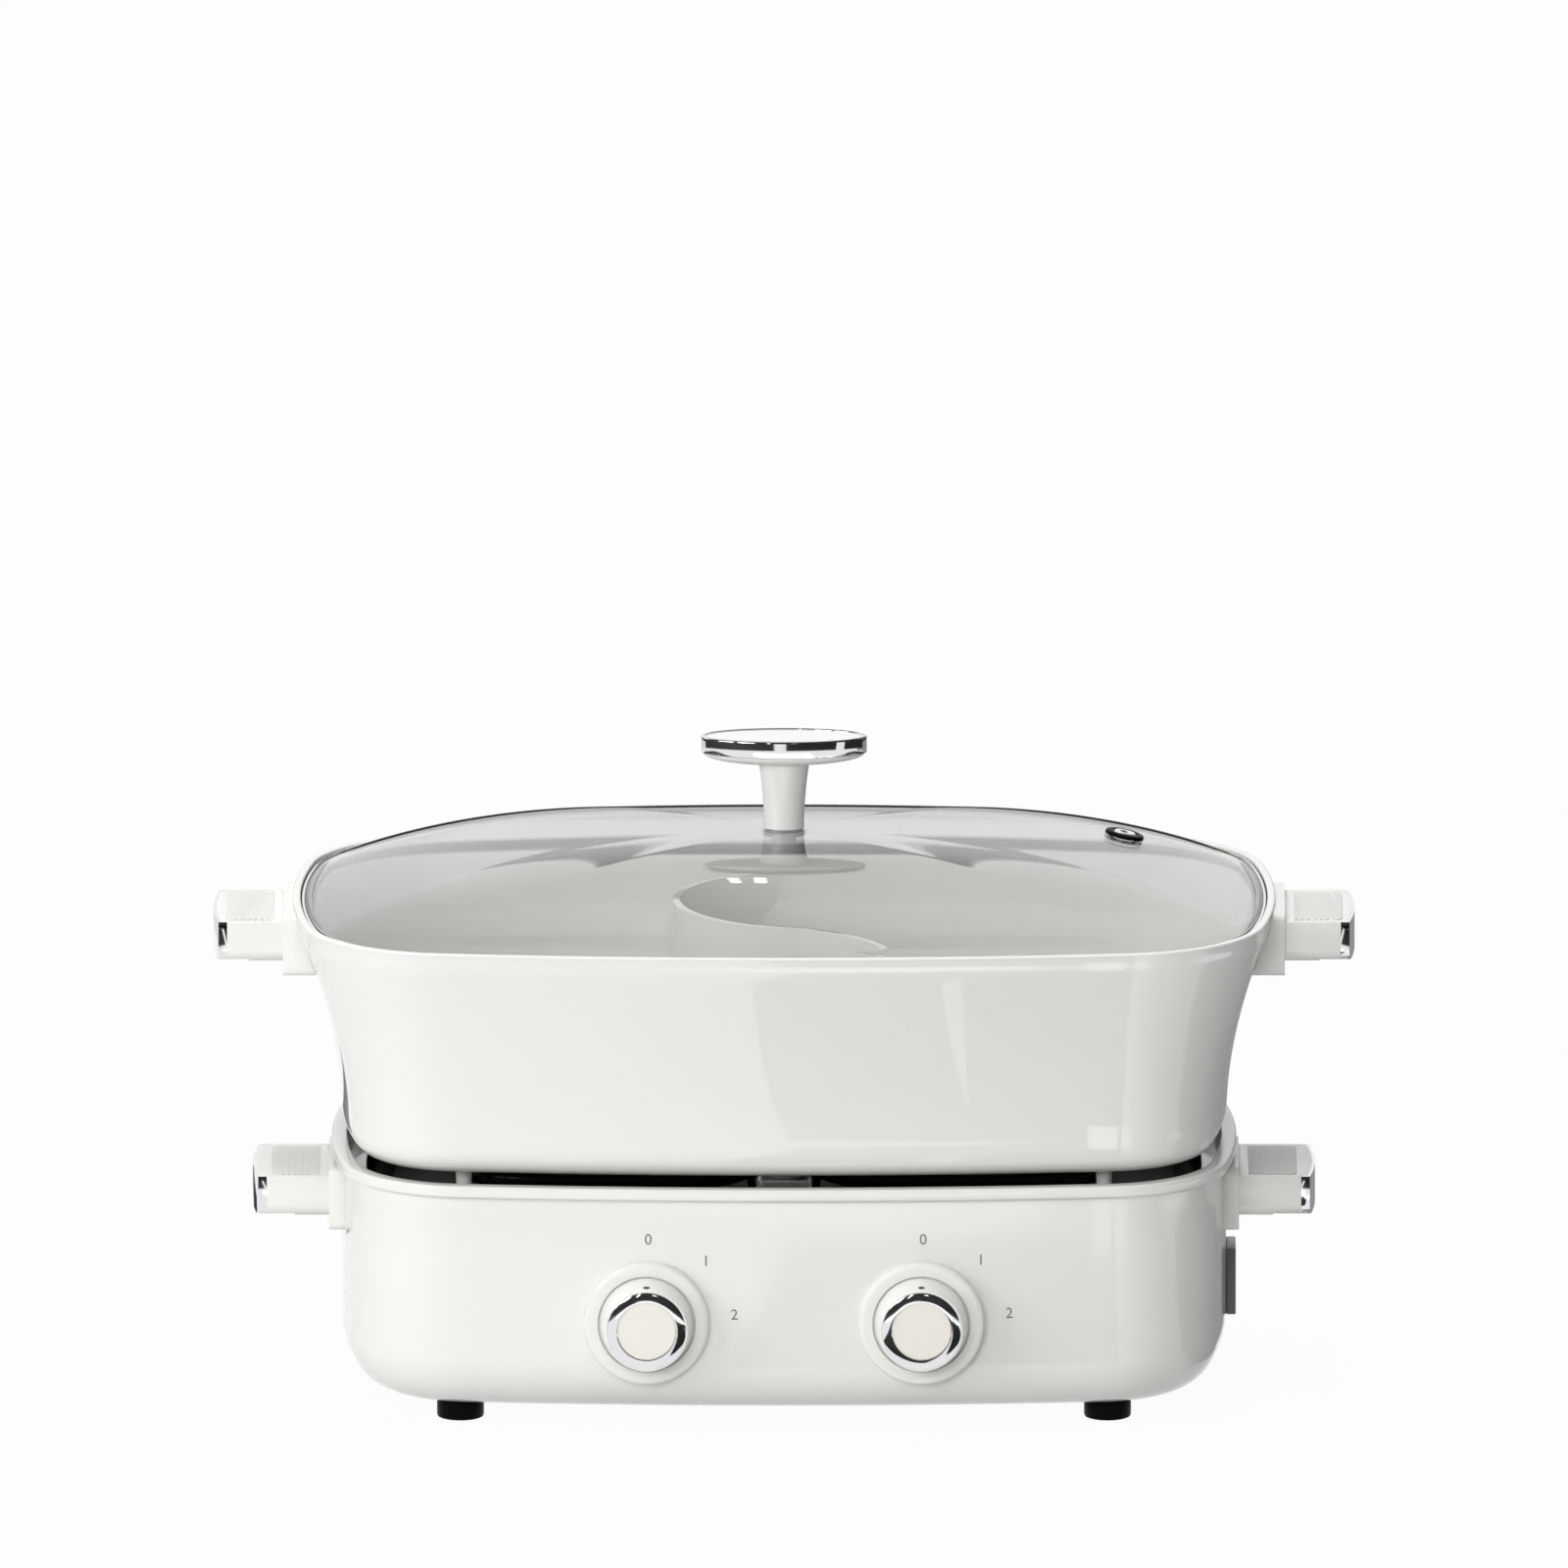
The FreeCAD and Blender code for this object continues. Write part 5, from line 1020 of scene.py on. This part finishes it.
def seen_only_in_gloss(name, outlines):
    """Flat stage pieces that polished surfaces reflect and that nothing else shows."""
    points = []
    faces = []
    for outline in outlines:
        faces.append(tuple(range(len(points), len(points) + len(outline))))
        points.extend(outline)
    part = piece_from(name, points, faces, name)
    for rays in ("camera", "diffuse", "shadow", "transmission"):
        setattr(part, "visible_" + rays, False)


def studio_floor():
    """Pale floor that stays white in view and keeps a soft shadow."""
    tree, shader = stage_finish("studio_floor")
    preset(shader, {"Base Color": (0.6, 0.6, 0.6, 1), "Roughness": 0.9})
    glow = node(tree, "ShaderNodeEmission", {"Color": (1, 1, 1, 1), "Strength": 1.0})
    rays = node(tree, "ShaderNodeLightPath").outputs
    seen = maths(tree, "MAXIMUM", rays["Is Camera Ray"], rays["Is Glossy Ray"])
    seen = maths(tree, "MAXIMUM", seen, rays["Is Transmission Ray"])
    show(tree, maths(tree, "MULTIPLY", seen, FLOOR_GLOW), shader.outputs["BSDF"], glow.outputs["Emission"])
    reach = 5000
    corners = level([(-reach, -reach), (reach, -reach), (reach, reach), (-reach, reach)], 0)
    piece_from("studio_floor", corners, [(0, 1, 2, 3)], "studio_floor")


def studio_world():
    """White behind the object, a dim room before it, darker on the right, for polished surfaces."""
    scene.world = bpy.data.worlds.new("studio")
    scene.world.use_nodes = True
    tree = scene.world.node_tree
    rays = node(tree, "ShaderNodeLightPath").outputs
    direction = node(tree, "ShaderNodeSeparateXYZ",
                     {0: node(tree, "ShaderNodeTexCoord").outputs["Generated"]}).outputs

    def fade(axis, start, end, low, high, kind="SMOOTHSTEP"):
        return node(tree, "ShaderNodeMapRange", {0: direction[axis], 1: start, 2: end, 3: low, 4: high},
                    interpolation_type=kind).outputs[0]

    seen = maths(tree, "MAXIMUM", rays["Is Camera Ray"], rays["Is Transmission Ray"])
    seen = maths(tree, "MULTIPLY", seen, maths(tree, "LESS_THAN", rays["Diffuse Depth"], 0.5))
    around = maths(tree, "MULTIPLY", fade("Y", -0.35, 0.25, 0.04, 1.0), fade("X", 0.1, 0.8, 1.0, 0.2))
    around = maths(tree, "MULTIPLY", around, fade("Z", -0.01, 0.01, 0.02, 1.0, "LINEAR"))
    shown = maths(tree, "MAXIMUM", seen, maths(tree, "MULTIPLY", rays["Is Glossy Ray"], around))
    room = fade("X", 0.1, 0.9, ROOM_LIGHT, ROOM_LIGHT * 0.45)
    room = maths(tree, "MULTIPLY", rays["Is Diffuse Ray"], room)
    backdrop = tree.nodes["Background"].inputs
    backdrop["Color"].default_value = (1, 1, 1, 1)
    tree.links.new(maths(tree, "MAXIMUM", shown, room), backdrop["Strength"])


def floor_sector(start, end, near, far, height=2):
    """Outline of a floor card between two bearings from straight ahead and two distances."""
    count = max(1, round((end - start) / 10))
    bearings = [math.radians(start + (end - start) * step / count) for step in range(count + 1)]
    inner = [(near * math.sin(b), -near * math.cos(b), height) for b in bearings]
    outer = [(far * math.sin(b), -far * math.cos(b), height) for b in reversed(bearings)]
    return inner + outer


def level(outline, height):
    return [(x, y, height) for x, y in outline]


def cards():
    """Black and grey cards on the floor, which give bright metal and glaze their dark bands."""
    preset(stage_finish("black_cards")[1], {"Base Color": (0.008, 0.008, 0.008, 1), "Roughness": 0.9})
    black = [floor_sector(*bearings, 900, 4900) for bearings in ((-164, -5.6), (1.1, 36.7), (46.6, 164))]
    black.append(floor_sector(164, 196, 1900, 4900))
    black += [level(outline, 2) for outline in ([(-30, -185), (60, -185), (130, -440), (4, -440)],
                                                [(84, -185), (174, -185), (250, -440), (120, -440)],
                                                [(-300, 240), (-240, 240), (-240, 460), (-300, 460)])]
    seen_only_in_gloss("black_cards", black)
    glowing("grey_card_right", [level([(200, -60), (900, -250), (900, 900), (200, 900)], 2),
                                floor_sector(100, 172, 895, 1400, 3)], 0.3)
    glowing("grey_card_left", [floor_sector(-172, -100, 895, 1400, 3)], 0.8)
    glowing("grey_card_back", [floor_sector(172, 188, 900, 1890, 3)], 0.72)


def glowing(name, outlines, strength):
    """Bright or grey panes that only show in polished surfaces; corner points in millimetres."""
    tree, _ = stage_finish(name)
    glow = node(tree, "ShaderNodeEmission", {"Color": (1, 1, 1, 1), "Strength": strength})
    tree.links.new(glow.outputs["Emission"], tree.nodes["Material Output"].inputs["Surface"])
    seen_only_in_gloss(name, outlines)


def upright_panes(y, *panes):
    """Upright panes across the view, each from its left and right edge, foot and head."""
    return [[(x0, y, z0), (x1, y, z0), (x1, y, z1), (x0, y, z1)] for x0, x1, z0, z1 in panes]


def windows():
    """Tall windows with glazing bars before the object, and the light that they throw on the floor."""
    glowing("veiled_panes", upright_panes(-2450, (182, 321, 820, 944)), 3.6)
    before = upright_panes(-2450, (-362, -343, 660, 820), (-362, -343, 860, 1250), (-397, -374, 660, 820),
                           (-397, -374, 860, 1250), (-1445, -783, 720, 900), (-1445, -783, 940, 1300),
                           (-3480, -1702, 840, 1040), (-3480, -1702, 1090, 1500))
    behind = upright_panes(2000, (-48, -38, 2168, 2450), (-26, -15, 2168, 2450))
    glowing("window_panes", before + behind, 8.0)
    patches = [[(-236, -703), (-200, -569), (-159, -516), (-107, -498), (-26, -465), (51, -446), (127, -441),
                (165, -455), (183, -510), (190, -703)],
               [(188, -398), (214, -396), (245, -500), (207, -505)],
               [(228, -392), (280, -375), (365, -455), (270, -488)],
               [(585, -424), (485, -203), (580, 13), (777, -197)],
               [(485, -203), (700, -154), (747, 226), (580, 13)]]
    glowing("floor_patches", [level(patch, 3) for patch in patches], 1.9)


def lamps():
    """Large soft key on the left, softer boxes before, above and behind the object."""
    boxes = (("left_box", (-2.3, -1.5, 1.0), (0, 0, 0.22), 1.5, 1.2, 30.0),
             ("front_box", (-0.5, -2.6, 1.1), (0, 0, 0.22), 1.4, 1.0, 29.0),
             ("top_box", (-0.2, -0.1, 2.3), (0, 0, 0.15), 1.7, 1.2, 28.0),
             ("back_box", (-0.2, 2.6, 1.0), (0, 0, 0.22), 1.4, 1.0, 20.0))
    for name, place, aim, width, height, power in boxes:
        data = bpy.data.lights.new(name, "AREA")
        data.shape = "RECTANGLE"
        data.size = width
        data.size_y = height
        data.energy = power
        lamp = linked(name, data)
        lamp.location = place
        lamp.rotation_euler = (Vector(aim) - Vector(place)).to_track_quat("-Z", "Y").to_euler()
        lamp.visible_glossy = False
        lamp.visible_transmission = False


def long_lens():
    """Distant camera with a long lens, 13 degrees above the level, that takes in the lifted parts."""
    elevation = math.radians(13.0)
    distance = 30.0
    aim = Vector((0, 0, 0.2493))
    data = bpy.data.cameras.new("camera")
    data.sensor_width = 36.0
    data.lens = 36.0 * distance / 0.64
    data.clip_end = 60.0
    camera = linked("camera", data)
    camera.location = aim + Vector((0, -math.cos(elevation), math.sin(elevation))) * distance
    camera.rotation_euler = (math.radians(90) - elevation, 0, 0)
    scene.camera = camera


studio_floor()
studio_world()
cards()
windows()
lamps()
long_lens()
scene.view_settings.view_transform = "Standard"
